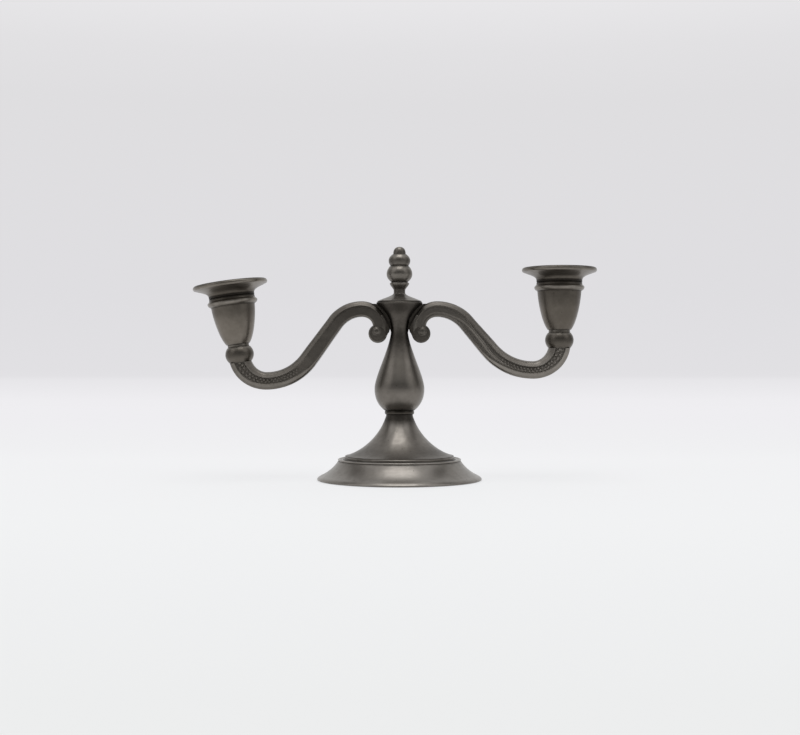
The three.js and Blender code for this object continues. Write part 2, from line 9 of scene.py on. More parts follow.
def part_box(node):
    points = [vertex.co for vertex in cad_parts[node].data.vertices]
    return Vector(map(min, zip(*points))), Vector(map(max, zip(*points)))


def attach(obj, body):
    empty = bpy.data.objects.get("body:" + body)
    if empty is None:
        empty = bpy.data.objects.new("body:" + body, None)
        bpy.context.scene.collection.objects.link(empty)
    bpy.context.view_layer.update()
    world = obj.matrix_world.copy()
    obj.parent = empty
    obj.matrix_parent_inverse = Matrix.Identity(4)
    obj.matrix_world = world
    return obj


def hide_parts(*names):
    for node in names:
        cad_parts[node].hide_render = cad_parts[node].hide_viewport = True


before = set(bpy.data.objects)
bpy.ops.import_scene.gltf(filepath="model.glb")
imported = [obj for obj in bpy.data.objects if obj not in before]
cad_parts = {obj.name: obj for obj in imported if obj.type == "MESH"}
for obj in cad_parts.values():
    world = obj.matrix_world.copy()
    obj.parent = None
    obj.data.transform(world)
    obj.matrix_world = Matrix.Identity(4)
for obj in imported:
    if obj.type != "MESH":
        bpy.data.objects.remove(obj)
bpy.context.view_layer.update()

# A two-light pewter candelabra. Outlines are drawn in millimetres, as (radius, height) from each
# piece's own foot, and the meshes are made in metres.
mm = 0.001
gap = 0.3  # round what lifts or turns
seated = 0.03  # between two pieces that are fast to each other
crease = math.radians(38)  # sharper corners stay sharp


def lowOf(solid):
    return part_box(solid)[0].z / mm


def highOf(solid):
    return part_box(solid)[1].z / mm


def smooth(t):
    t = max(0.0, min(1.0, t))
    return t * t * (3 - 2 * t)


def ramp(value, low, high):
    return smooth((value - low) / (high - low))


def raised(height):
    return Matrix.Translation((0, 0, height * mm))


# Outlines

def curveOn(line, to, first, second, steps=18):
    # carries the line on to a point, with handles given as shares of the way there
    ways = [(begin, end - begin, a, b) for begin, end, a, b in zip(line[-1], to, first, second)]
    for i in range(1, steps + 1):
        t = i / steps
        one, two, three = 3 * t * (1 - t) ** 2, 3 * t * t * (1 - t), t ** 3
        line.append(tuple(begin + way * (one * a + two * b + three) for begin, way, a, b in ways))
    return line


def arcOn(line, centre, radii, angles, steps=12):
    # carries the line on along a piece of an ellipse, angles in degrees from straight out
    for i in range(steps + 1):
        a = math.radians(angles[0] + (angles[1] - angles[0]) * i / steps)
        line.append((centre[0] + radii[0] * math.cos(a), centre[1] + radii[1] * math.sin(a)))
    return line


def shifted(line, distance):
    # the same line moved to its left, for the other face of a wall
    moved = []
    for i, point in enumerate(line):
        before, after = line[max(i - 1, 0)], line[min(i + 1, len(line) - 1)]
        dr, dz = after[0] - before[0], after[1] - before[1]
        size = math.hypot(dr, dz)
        moved.append((point[0] - dz / size * distance, point[1] + dr / size * distance))
    return moved


def radiusAt(line, z):
    # the radius of a rising line at a height, carried on straight past its ends
    i = next((i for i, p in enumerate(line) if p[1] >= z), len(line) - 1)
    low, high = line[max(i, 1) - 1], line[max(i, 1)]
    return low[0] + (high[0] - low[0]) * (z - low[1]) / (high[1] - low[1])


def between(line, low, high):
    inner = [p for p in line if low + 0.1 < p[1] < high - 0.1]
    return [(radiusAt(line, low), low)] + inner + [(radiusAt(line, high), high)]


def softened(line, closed, steps=5):
    # points with a third number get a rounded corner of that radius
    out = []
    for i, point in enumerate(line):
        inside = closed or 0 < i < len(line) - 1
        if len(point) < 3 or not inside:
            out.append((point[0], point[1]))
            continue
        before, after = line[i - 1], line[(i + 1) % len(line)]
        ways = []
        for other in (before, after):
            dr, dz = other[0] - point[0], other[1] - point[1]
            ways.append((dr, dz, math.hypot(dr, dz)))
        (ar, az, aSize), (br, bz, bSize) = ways
        cosine = (ar * br + az * bz) / (aSize * bSize)
        half = math.acos(max(-1.0, min(1.0, cosine))) / 2
        reach = min(point[2] / max(math.tan(half), 0.05), 0.48 * aSize, 0.48 * bSize)
        for k in range(steps + 1):
            t = k / steps
            u, v = (1 - t) ** 2 * reach / aSize, t * t * reach / bSize
            out.append((point[0] + ar * u + br * v, point[1] + az * u + bz * v))
    return out


def evened(line, closed, step):
    # cuts long stretches and drops points that lie on top of each other
    out = []
    ends = line[1:] + line[:1] if closed else line[1:]
    for a, b in zip(line, ends):
        size = math.hypot(b[0] - a[0], b[1] - a[1])
        if size < 0.004:
            continue
        onAxis = a[0] < 1e-6 and b[0] < 1e-6
        cuts = 1 if onAxis else max(1, math.ceil(size / step))
        out += [(a[0] + (b[0] - a[0]) * k / cuts, a[1] + (b[1] - a[1]) * k / cuts) for k in range(cuts)]
    if not closed:
        out.append(line[-1])
    return out


def bendAlong(line, closed, reach):
    # how far each point stands out of (+) or lies in (-) the line around it, as a share of the reach
    count = len(line)
    out = []
    for i, point in enumerate(line):
        ends = []
        for way in (-1, 1):
            left, j, here = reach, i, point
            while left > 0:
                if not closed and not 0 <= j + way < count:
                    break
                there = line[(j + way) % count]
                size = math.hypot(there[0] - here[0], there[1] - here[1])
                share = min(1.0, left / max(size, 1e-6))
                here = (here[0] + (there[0] - here[0]) * share, here[1] + (there[1] - here[1]) * share)
                left -= size
                j += way
            ends.append(here)
        (ar, az), (br, bz) = ends
        size = math.hypot(br - ar, bz - az) or 1.0
        outR, outZ = (bz - az) / size, -(br - ar) / size
        out.append(((point[0] - (ar + br) / 2) * outR + (point[1] - (az + bz) / 2) * outZ) / reach)
    return out


# Meshes

def addObject(name, data):
    piece = bpy.data.objects.new(name, data)
    bpy.context.scene.collection.objects.link(piece)
    return piece


def paint(mesh, name, values):
    mesh.attributes.new(name, "FLOAT", "POINT").data.foreach_set("value", values)


def newMesh(name, verts, faces, **layers):
    mesh = bpy.data.meshes.new(name)
    mesh.from_pydata(verts, [], faces)
    for layer, values in layers.items():
        paint(mesh, layer, values)
    return mesh


def makeObject(name, mesh, material, place):
    mesh.shade_smooth()
    mesh.set_sharp_from_angle(angle=crease)
    mesh.materials.append(material)
    piece = addObject(name, mesh)
    piece.matrix_world = place
    return piece


def turnedMesh(name, line, turns=144, step=0.7, seams=()):
    # spins an outline about Z; each painted band is (height, width, amount) of oxide and painted shade, or
    # below nothing of rubbing and painted highlight
    closed = line[0][0] > 1e-6 or line[-1][0] > 1e-6
    profile = evened(softened(line, closed), closed, step)
    area = sum(a[0] * b[1] - b[0] * a[1] for a, b in zip(profile, profile[1:] + profile[:1]))
    if area < 0:
        profile.reverse()
    wide = bendAlong(profile, closed, 1.3)
    fine = bendAlong(profile, closed, 0.35)
    verts, faces, rows, run, hollow, edge = [], [], [], [], [], []
    along = 0.0
    for i, (r, z) in enumerate(profile):
        if i:
            along += math.hypot(r - profile[i - 1][0], z - profile[i - 1][1])
        # concave bends get oxide and painted shade, sharp outward edges get rubbing and painted highlight
        oxideShade = max(0.0, -wide[i] * 1.3)
        rubAndHighlight = max(0.0, min(1.0, fine[i] * 3.2)) if r > 1 else 0.0
        for height, width, amount in seams:
            share = amount * smooth(1 - abs(z - height) / width)
            oxideShade, rubAndHighlight = max(oxideShade, share), max(rubAndHighlight, -share)
        rubAndHighlight *= 1 - ramp(oxideShade, 0.6, 1.0)
        ring = 1 if r < 1e-6 else turns
        rows.append([len(verts) + k % ring for k in range(turns)])
        for k in range(ring):
            a = 2 * math.pi * k / turns
            verts.append((r * mm * math.cos(a), r * mm * math.sin(a), z * mm))
        run += [along] * ring
        hollow += [min(1.0, oxideShade)] * ring
        edge += [rubAndHighlight] * ring
    pairs = list(zip(rows, rows[1:]))
    if closed:
        pairs.append((rows[-1], rows[0]))
    for low, high in pairs:
        if low[0] == low[1] and high[0] == high[1]:
            continue
        for k in range(turns):
            n = (k + 1) % turns
            corners = [low[k], low[n], high[n], high[k]]
            faces.append([v for j, v in enumerate(corners) if v != corners[j - 1]])
    return newMesh(name, verts, faces, run=run, hollow=hollow, edge=edge)


def prismMesh(name, outline, half, soften=0.0):
    # an outline in X and Z, drawn anticlockwise as seen from -Y, made thick across Y
    count = len(outline)
    verts = [(x * mm, side * half * mm, z * mm) for side in (-1, 1) for x, z in outline]
    faces = [tuple(range(count)), tuple(range(count, 2 * count))[::-1]]
    for i in range(count):
        n = (i + 1) % count
        faces.append((n, i, i + count, n + count))
    mesh = newMesh(name, verts, faces)
    if soften:
        shape = bmesh.new()
        shape.from_mesh(mesh)
        rims = [edge for edge in shape.edges if abs(edge.verts[0].co.y - edge.verts[1].co.y) < half * mm]
        bmesh.ops.bevel(shape, geom=rims, offset=soften * mm, segments=4, profile=0.6, affect="EDGES")
        for face in shape.faces:
            face.smooth = True
        shape.to_mesh(mesh)
        shape.free()
    return mesh


def rodMesh(name, radius, low, high, turns=48):
    return turnedMesh(name, [(0, low), (radius, low), (radius, high), (0, high)], turns=turns, step=4)


def shapeWith(piece, joins, cuts):
    # joins and cuts helper meshes, then keeps the outcome as the piece's own mesh
    helpers = []
    for operation, meshes in (("UNION", joins), ("DIFFERENCE", cuts)):
        for mesh in meshes:
            helpers.append(addObject("helper", mesh))
            change = piece.modifiers.new("shape", "BOOLEAN")
            change.operation = operation
            change.solver = "MANIFOLD"
            change.object = helpers[-1]
    graph = bpy.context.evaluated_depsgraph_get()
    made = bpy.data.meshes.new_from_object(piece.evaluated_get(graph))
    piece.modifiers.clear()
    piece.data = made
    made.set_sharp_from_angle(angle=crease)
    for helper in helpers:
        bpy.data.objects.remove(helper)


def seat(piece, body, slot, *replaced):
    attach(piece, body)
    if replaced:
        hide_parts(*replaced)
    return piece


def turnedPiece(solid, slot, line, material, place, body="candelabra", **settings):
    name = f"{solid}_turned"
    piece = makeObject(name, turnedMesh(name, line, **settings), material, place)
    return seat(piece, body, slot, solid)


# Shader node groups, built once

def newGroup(name, inputs, outputs):
    # inputs give each label its usual value, and a tuple stands for a colour
    group = bpy.data.node_groups.new(name, "ShaderNodeTree")
    for label, value in inputs.items():
        kind = "NodeSocketColor" if isinstance(value, tuple) else "NodeSocketFloat"
        group.interface.new_socket(label, in_out="INPUT", socket_type=kind).default_value = value
    for label in outputs:
        kind = "NodeSocketColor" if label == "Color" else "NodeSocketFloat"
        group.interface.new_socket(label, in_out="OUTPUT", socket_type=kind)
    return group, group.nodes.new("NodeGroupInput").outputs, group.nodes.new("NodeGroupOutput")


def plug(tree, made, links):
    # links maps the node's inputs to sockets or plain values
    for key, value in links.items():
        if isinstance(value, bpy.types.NodeSocket):
            tree.links.new(value, made.inputs[key])
        else:
            made.inputs[key].default_value = value
    return made


def node(tree, kind, links=None, **settings):
    made = tree.nodes.new(kind)
    for key, value in settings.items():
        setattr(made, key, value)
    return plug(tree, made, links or {})


def maths(tree, operation, a, b=0.0, clamp=False):
    return node(tree, "ShaderNodeMath", {0: a, 1: b}, operation=operation, use_clamp=clamp).outputs[0]


def times(tree, a, b, clamp=False):
    return maths(tree, "MULTIPLY", a, b, clamp)


def plus(tree, a, b, clamp=False):
    return maths(tree, "ADD", a, b, clamp)


def minus(tree, a, b, clamp=False):
    return maths(tree, "SUBTRACT", a, b, clamp)


def span(tree, value, low, high, toLow=0.0, toHigh=1.0):
    links = {"Value": value, "From Min": low, "From Max": high, "To Min": toLow, "To Max": toHigh}
    return node(tree, "ShaderNodeMapRange", links, interpolation_type="SMOOTHSTEP").outputs["Result"]


def blendColours(tree, factor, a, b):
    return node(tree, "ShaderNodeMix", {0: factor, 6: a, 7: b}, data_type="RGBA").outputs[2]


def grainNoise(tree, vector, scale, detail=3.0, rough=0.55):
    links = {"Vector": vector, "Scale": scale, "Detail": detail, "Roughness": rough}
    return node(tree, "ShaderNodeTexNoise", links).outputs["Fac"]


def ringNoise(tree, place, detail=2.0, rough=0.5):
    links = {"W": place, "Scale": 1.0, "Detail": detail, "Roughness": rough}
    return node(tree, "ShaderNodeTexNoise", links, noise_dimensions="1D").outputs["Fac"]


def weighed(tree, first, second):
    # two values added together, each with its own share
    parts = [times(tree, value, share) for value, share in (first, second)]
    return plus(tree, *parts)


def placeOn(tree, seed=None):
    # the place on the piece, moved by the seed if there is one
    coords = node(tree, "ShaderNodeTexCoord").outputs["Object"]
    if seed is None:
        return coords
    return node(tree, "ShaderNodeVectorMath", {0: coords, 1: seed}, operation="ADD").outputs[0]


def redOf(tree, colour):
    return node(tree, "ShaderNodeSeparateColor", {"Color": colour}).outputs["Red"]


def bumped(tree, height, depth, under=None):
    links = {"Strength": 1.0, "Distance": depth * mm, "Height": height}
    if under:
        links["Normal"] = under
    return node(tree, "ShaderNodeBump", links).outputs[0]


def makePatinaGroup():
    # clouded tone of old pewter: broad clouds with small mottling in them
    group, into, out = newGroup("antiquePatina", {
        "Light Tone": (0.24, 0.22, 0.2, 1), "Dark Tone": (0.13, 0.12, 0.105, 1), "Seed": 0.0,
        "Cloud Scale": 45.0, "Contrast": 1.0,
    }, ("Color", "Clouds"))
    moved = placeOn(group, into["Seed"])
    broad = grainNoise(group, moved, into["Cloud Scale"])
    small = grainNoise(group, moved, times(group, into["Cloud Scale"], 9.0), 4.0, 0.65)
    both = weighed(group, (broad, 0.65), (small, 0.35))
    strong = times(group, minus(group, both, 0.5), into["Contrast"])
    spread = span(group, plus(group, strong, 0.5, clamp=True), 0.25, 0.75)
    colour = blendColours(group, spread, into["Dark Tone"], into["Light Tone"])
    plug(group, out, {"Color": colour, "Clouds": spread})
    return group


def makeTurningGroup():
    # fine rings left by the lathe and the polishing cloth, from the distance along the outline
    group, into, out = newGroup("turningLines", {
        "Run": 0.0, "Seed": 0.0, "Lines per mm": 4.0, "Break Up": 60.0,
    }, ("Height", "Sheen Lines"))
    drift = times(group, grainNoise(group, placeOn(group), into["Break Up"], 2.0), 0.5)
    place = plus(group, plus(group, into["Run"], drift), into["Seed"])
    scaled = times(group, place, into["Lines per mm"])
    plug(group, out, {
        "Height": ringNoise(group, scaled, 3.0, 0.6),
        "Sheen Lines": ringNoise(group, times(group, place, 0.6)),
    })
    return group


def makeCornerDarkGroup():
    # dark oxide and painted shade in corners and hollows, from the painted layer of both and the open sky
    # over each point
    group, into, out = newGroup("cornerOxideAndShade", {
        "Oxide Shade Layer": 0.0, "Reach": 0.004, "Amount": 1.0, "Seed": 0.0,
    }, ("Mask",))
    sky = node(group, "ShaderNodeAmbientOcclusion", {"Distance": into["Reach"]}, samples=6).outputs["AO"]
    # painted shade: the less open sky a point sees, the darker it is painted
    skyShade = times(group, span(group, sky, 0.35, 0.95, 1.0, 0.0), 0.3)
    grain = grainNoise(group, placeOn(group, into["Seed"]), 900.0)
    ragged = span(group, grain, 0.2, 0.7, 0.9, 1.12)
    broken = times(group, plus(group, into["Oxide Shade Layer"], skyShade), ragged, clamp=True)
    plug(group, out, {"Mask": times(group, broken, into["Amount"])})
    return group


def makeWearHighlightGroup():
    # handling rubs the raised edges bright, in patches; painted highlights laid in the same layer brighten
    # the same way
    group, into, out = newGroup("rubbedEdgesAndHighlights", {"Rub And Highlight": 0.0, "Amount": 1.0, "Seed": 0.0}, ("Mask",))
    patches = grainNoise(group, placeOn(group, into["Seed"]), 160.0, 3.0, 0.6)
    rubbedAndLit = times(group, into["Rub And Highlight"], span(group, patches, 0.3, 0.6, 0.45, 1.0))
    plug(group, out, {"Mask": times(group, rubbedAndLit, into["Amount"], clamp=True)})
    return group


def makePitGroup():
    # scattered casting pits in a fine uneven skin
    group, into, out = newGroup("castingPits", {
        "Seed": 0.0, "Pit Scale": 420.0, "Pit Share": 0.12,
    }, ("Height", "Pits"))
    moved = placeOn(group, into["Seed"])
    cells = node(group, "ShaderNodeTexVoronoi", {"Vector": moved, "Scale": into["Pit Scale"]}).outputs
    chosen = maths(group, "LESS_THAN", redOf(group, cells["Color"]), into["Pit Share"])
    pits = times(group, chosen, span(group, cells["Distance"], 0.08, 0.3, 1.0, 0.0))
    skin = times(group, grainNoise(group, moved, 1500.0, 3.0, 0.6), 0.35)
    plug(group, out, {"Height": minus(group, skin, pits), "Pits": pits})
    return group


patinaGroup = makePatinaGroup()
turningGroup = makeTurningGroup()
grimeGroup = makeCornerDarkGroup()
wearAndHighlightGroup = makeWearHighlightGroup()
pitGroup = makePitGroup()
print("shader groups ready")


def newMaterial(name):
    material = bpy.data.materials.new(name)
    material.use_nodes = True
    tree = material.node_tree
    tree.nodes.clear()
    shader = tree.nodes.new("ShaderNodeBsdfPrincipled")
    node(tree, "ShaderNodeOutputMaterial", {"Surface": shader.outputs[0]})
    return material, tree, shader


def placeGroup(tree, group, links):
    return node(tree, "ShaderNodeGroup", links, node_tree=group).outputs


def layerOf(tree, name):
    return node(tree, "ShaderNodeAttribute", attribute_name=name).outputs["Fac"]


def makePewter(name, look):
    # old pewter: look gives its tones and how strong each effect is
    material, tree, shader = newMaterial(name)
    seed, oxideShadeTone = look["seed"], (*look["oxideShadeTone"], 1)
    patina = placeGroup(tree, patinaGroup, {
        "Light Tone": (*look["light"], 1), "Dark Tone": (*look["dark"], 1), "Seed": seed,
        "Cloud Scale": look["clouds"], "Contrast": look["contrast"],
    })
    grime = placeGroup(tree, grimeGroup, {
        "Oxide Shade Layer": layerOf(tree, "hollow"), "Reach": look["grimeReach"] * mm, "Amount": look["grime"],
        "Seed": seed,
    })["Mask"]
    wearAndHighlight = placeGroup(tree, wearAndHighlightGroup, {
        "Rub And Highlight": layerOf(tree, "edge"), "Amount": look["wearAndHighlight"], "Seed": seed,
    })["Mask"]
    pits = placeGroup(tree, pitGroup, {
        "Seed": seed, "Pit Scale": look["pitScale"], "Pit Share": look["pitShare"],
    })
    lines = placeGroup(tree, turningGroup, {
        "Run": layerOf(tree, "run"), "Seed": seed, "Lines per mm": look["lines"],
        "Break Up": look["lineBreak"],
    })
    # oxide and painted shade darken the colour, then rubbing and painted highlights lighten it
    sooty = blendColours(tree, grime, patina["Color"], oxideShadeTone)
    rubbedAndLit = blendColours(tree, wearAndHighlight, sooty, (*look["rubAndHighlight"], 1))
    rough = span(tree, patina["Clouds"], 0.0, 1.0, look["rough"] + 0.04, look["rough"] - 0.03)
    rings = times(tree, minus(tree, lines["Sheen Lines"], 0.5), look["lineSheen"])
    dull = plus(tree, plus(tree, rough, rings), times(tree, grime, 0.22))
    turned = bumped(tree, lines["Height"], look["lineDepth"])
    plug(tree, shader, {
        "Base Color": blendColours(tree, times(tree, pits["Pits"], 0.7), rubbedAndLit, oxideShadeTone),
        "Roughness": minus(tree, dull, times(tree, wearAndHighlight, 0.1), clamp=True),
        "Metallic": look["metal"],
        "Normal": bumped(tree, pits["Height"], look["pitDepth"], turned),
    })
    if look["brushed"]:
        # a quarter turn, because turning lines spread a highlight across themselves
        around = node(tree, "ShaderNodeTangent", direction_type="RADIAL", axis="Z").outputs[0]
        plug(tree, shader, {
            "Anisotropic": look["brushed"], "Anisotropic Rotation": 0.25, "Tangent": around,
        })
    return material


pewterLook = {
    # the darkest tone serves oxide and painted shade, the rubbed tone serves rubbing and painted highlights
    "light": (0.24, 0.22, 0.197), "dark": (0.165, 0.149, 0.131), "oxideShadeTone": (0.034, 0.029, 0.024),
    "rubAndHighlight": (0.36, 0.335, 0.3), "seed": 0.0, "clouds": 40.0, "contrast": 1.1,
    "grime": 0.85, "grimeReach": 1.8, "wearAndHighlight": 0.5, "pitScale": 620.0, "pitShare": 0.03,
    "lines": 5.0, "lineBreak": 40.0, "lineSheen": 0.08, "lineDepth": 0.006, "pitDepth": 0.02,
    "rough": 0.34, "metal": 0.95, "brushed": 0.5,
}


def pewter(name, **changes):
    return makePewter(name, {**pewterLook, **changes})


# Foot

skirt = {
    "rimRadius": 49.3, "rimEdge": 0.6, "rollRadius": 46.4, "rollHeight": 2.8, "wall": 1.5,
    "ledgeRadius": 36.9, "flangeRadius": 25, "bead": 0.55, "groove": 0.4, "flareDrop": 0.95,
    "flare": ((0.1, 0.2), (0.45, 0.7)), "roll": ((0.45, 0.27), (0.92, 0.62)),
    "look": {"seed": 1.3, "light": (0.28, 0.26, 0.237), "dark": (0.195, 0.178, 0.159), "grime": 0.75,
             "grimeReach": 0.9},
}


def makeSkirt():
    bottom, top = lowOf("foot_skirt"), highOf("foot_skirt")
    height = top - bottom
    wide, flange, bead = skirt["ledgeRadius"], skirt["flangeRadius"], skirt["bead"]
    flareTop = height - skirt["flareDrop"]
    rollEnd = (skirt["rollRadius"], skirt["rollHeight"])
    flare = curveOn([(wide - 0.1, flareTop)], rollEnd, *skirt["flare"], steps=30)
    curveOn(flare, (skirt["rimRadius"], skirt["rimEdge"]), *skirt["roll"], steps=14)
    line = [(flange, height, 0.3), (wide - 2.6 * bead, height, 0.2)]
    arcOn(line, (wide - bead, height - 0.3 * bead), (bead, bead), (150, -55), 10)
    line += [(wide - skirt["groove"], flareTop + 0.1, 0.05)] + flare
    line += [(skirt["rimRadius"] - 0.1, 0.2, 0.15), (skirt["rimRadius"] - 0.5, 0, 0.1)]
    line += between(shifted(flare[::-1], skirt["wall"]), 0, height - skirt["wall"])
    line += [(flange, height - skirt["wall"])]
    # painted shadow: the skirt's foot is painted dark where it meets the floor, and a faint dark line runs
    # under the ledge
    turnedPiece("foot_skirt", "foot_pewter", line, pewter("skirtPewter", **skirt["look"]), raised(bottom),
                turns=224, step=0.5, seams=[(flareTop + 0.1, 0.6, 0.2), (0, 0.9, 1)])


bell = {
    "edgeRadius": 32.8, "lip": 1.9, "lipGroove": 0.3, "topRadius": 8, "neck": 0.7, "crown": 3, "wall": 1.6,
    "bore": 2.3, "flare": ((0.38, 0.08), (0.85, 0.48)),
    "look": {"seed": 4.1, "light": (0.25, 0.23, 0.206), "dark": (0.168, 0.152, 0.134), "grime": 0.85,
             "grimeReach": 1.2, "wearAndHighlight": 0.3},
}


def makeBell():
    bottom, top = lowOf("foot_bell"), highOf("foot_bell")
    height = top - bottom
    edge, lip, roomTop = bell["edgeRadius"], bell["lip"], height - bell["crown"]
    neck = (bell["topRadius"], height - bell["neck"])
    outside = curveOn([(edge - 0.3, lip)], neck, *bell["flare"], steps=40)
    foot = highOf("foot_skirt") + seated - bottom
    line = [(edge - 0.15, foot, 0.1), (edge, foot + 0.5, 0.3), (edge, lip - 0.65, 0.35)]
    line += [(edge - 0.2 - bell["lipGroove"], lip - 0.2, 0.08)] + outside
    line += [(bell["topRadius"], height, 0.25), (bell["bore"], height), (bell["bore"], roomTop)]
    line += between(shifted(outside, bell["wall"]), 0, roomTop)[::-1]
    # painted shade and reflection: the neck under the belly is painted dark, and a broad darker band above
    # the lip stands in for the stem reflected there; thin dark lines mark the joint and the lip's groove,
    # and a painted highlight lies on the lip's face
    seams = [(foot, 0.4, 0.3), (lip - 0.2, 0.4, 0.25), (lip + 2.4, 8, 0.46), (height, 8.5, 1.35)]
    turnedPiece("foot_bell", "foot_pewter", line, pewter("bellPewter", **bell["look"]), raised(bottom),
                turns=192, seams=seams + [(lip - 1.2, 0.7, -0.4)])


makeSkirt()
makeBell()
print("foot turned")


# Stem

armStud = {"hole": 1.8, "drop": 4.5, "reach": 18.2}
# painted shade: the waist ring gets near-black tones, as it lies in shadow under the belly; its top and
# bottom are dark joints
waist = {
    "radius": 8.85, "bore": 2.3,
    "look": {"seed": 6.7, "wearAndHighlight": 0.12, "light": (0.065, 0.057, 0.048), "dark": (0.043, 0.037, 0.03)},
}


def makeWaist():
    bottom, top = highOf("foot_bell") + seated, lowOf("stem") - seated
    height, edge = top - bottom, waist["radius"] - 0.6
    line = [(waist["bore"], 0), (edge, 0, 0.15)]
    arcOn(line, (waist["radius"] - 0.55, height / 2), (0.55, height / 2 - 0.05), (-75, 75), 12)
    line += [(edge, height, 0.1), (waist["bore"], height)]
    turnedPiece("waist_ring", "stem_pewter", line, pewter("waistPewter", **waist["look"]), raised(bottom),
                turns=128, step=0.3, seams=[(0, 0.7, 1), (height, 0.7, 1)])


stem = {
    "footRadius": 8.9, "bellyRadius": 14.95, "bellyRise": 12.8, "neckRadius": 5.1, "neckRise": 34,
    "hubRise": 16.8, "rimRadius": 14, "rimLip": 0.45, "rimHeight": 1.3, "rimRound": 0.8, "bore": 2.3,
    "wall": 2.2, "floor": 3, "hollowFoot": 5.3, "neckCore": 12, "hubWall": 1.7, "hubFloor": 6,
    "belowBelly": ((0.55, 0.19), (1, 0.52)), "aboveBelly": ((0, 0.232), (0.875, 0.674)),
    "hub": ((0, 0.5), (0.383, 0.714)),
    "look": {"seed": 9.2, "light": (0.215, 0.196, 0.174), "dark": (0.148, 0.133, 0.115), "wearAndHighlight": 0.1},
}


def shadeBesideArms(mesh, low, high):
    # painted shade: the hub's two sides are painted dark behind the arms, where the arms shade them
    layer = mesh.attributes["hollow"].data
    for vert, value in zip(mesh.vertices, layer):
        x, y, z = vert.co / mm
        facing = abs(x) / max(math.hypot(x, y), 1e-6)
        here = ramp(z, low - 6, low + 3) * ramp(facing, 0.5, 0.86)
        value.value = max(value.value, here)


def makeStem():
    bottom, top = lowOf("stem"), highOf("stem")
    height = top - bottom
    belly, bore = stem["bellyRise"], stem["bore"]
    neck = belly + stem["neckRise"]
    line = [(stem["footRadius"], 0)]
    curveOn(line, (stem["bellyRadius"], belly), *stem["belowBelly"], steps=26)
    curveOn(line, (stem["neckRadius"], neck), *stem["aboveBelly"], steps=44)
    lip = (stem["rimRadius"] - stem["rimLip"], neck + stem["hubRise"])
    hub = curveOn([(stem["neckRadius"], neck)], lip, *stem["hub"], steps=30)
    line += [p for p in hub[1:] if p[1] < height - 1.7]
    line += [(stem["rimRadius"], height - stem["rimRound"], 0.7), (stem["rimRadius"] - 0.45, height, 0.5)]
    inside = shifted(hub, stem["hubWall"]) + [(stem["rimRadius"] - stem["hubWall"], height)]
    line += between(inside, neck + stem["hubFloor"], height)[::-1]
    line += [(bore, neck + stem["hubFloor"]), (bore, neck - stem["neckCore"])]
    curveOn(line, (stem["bellyRadius"] - stem["wall"], belly), (0.125, 0.326), (1, 0.768), 8)
    curveOn(line, (stem["hollowFoot"], stem["floor"]), (0, 0.44), (0.56, 0.835), 6)
    line += [(bore, stem["floor"]), (bore, 0)]
    # painted shade: broad dark bands over the neck, the hub and its rim, besides the dark joint at the foot
    seams = [(0, 1.6, 1), (height + 0.4, 3.2, 0.9), (height - 4, 9, 0.62), (neck + 6, 11, 0.6)]
    mesh = turnedMesh("stem_turned", line, turns=144, step=0.5, seams=seams + [(neck - 3, 15, 0.85)])
    shadeBesideArms(mesh, neck + 1, height)
    piece = makeObject("stem_turned", mesh, pewter("stemPewter", **stem["look"]), raised(bottom))
    studs = rodMesh("studHoles", armStud["hole"], -20, 20)
    studs.transform(raised(top - armStud["drop"]) @ Matrix.Rotation(math.pi / 2, 4, "Y"))
    shapeWith(piece, [], [studs])
    seat(piece, "candelabra", "stem_pewter", "stem")
    return hub


finial = {
    "roofEdge": 13.3, "roofHeight": 5.4, "neckRadius": 3.44, "neckHeight": 1.3,
    "bud": (5.8, 4.6), "groove": (5.3, 0.8), "bigBall": (7.72, 4.4, 5), "midBall": (6.5, 3, 3.9),
    "midGroove": 5.35, "tipSeat": 3.75, "tipHeight": 4.5,
    "roof": ((0.6, 0.52), (1, 0.66)), "budSide": ((0.02, 0.3), (0.9, 0.66)),
    "tip": ((-0.02, 0.62), (0.3, 1)),
    "insertBore": 3.5, "insertLength": 3.4, "rodBore": 2.3, "rodLength": 5.1,
    "look": {"seed": 12.4, "grime": 0.66, "light": (0.205, 0.187, 0.165), "dark": (0.135, 0.121, 0.105)},
}


def ballOn(line, middle, radius, below, above, seatBelow, seatAbove):
    # a turned ball between the grooves that it sits in
    low = below / math.sqrt(1 - (seatBelow / radius) ** 2)
    high = above / math.sqrt(1 - (seatAbove / radius) ** 2)
    arcOn(line, (0, middle), (radius, low), (-math.degrees(math.asin(below / low)), 0), 14)
    arcOn(line, (0, middle), (radius, high), (0, math.degrees(math.asin(above / high))), 14)
    return line


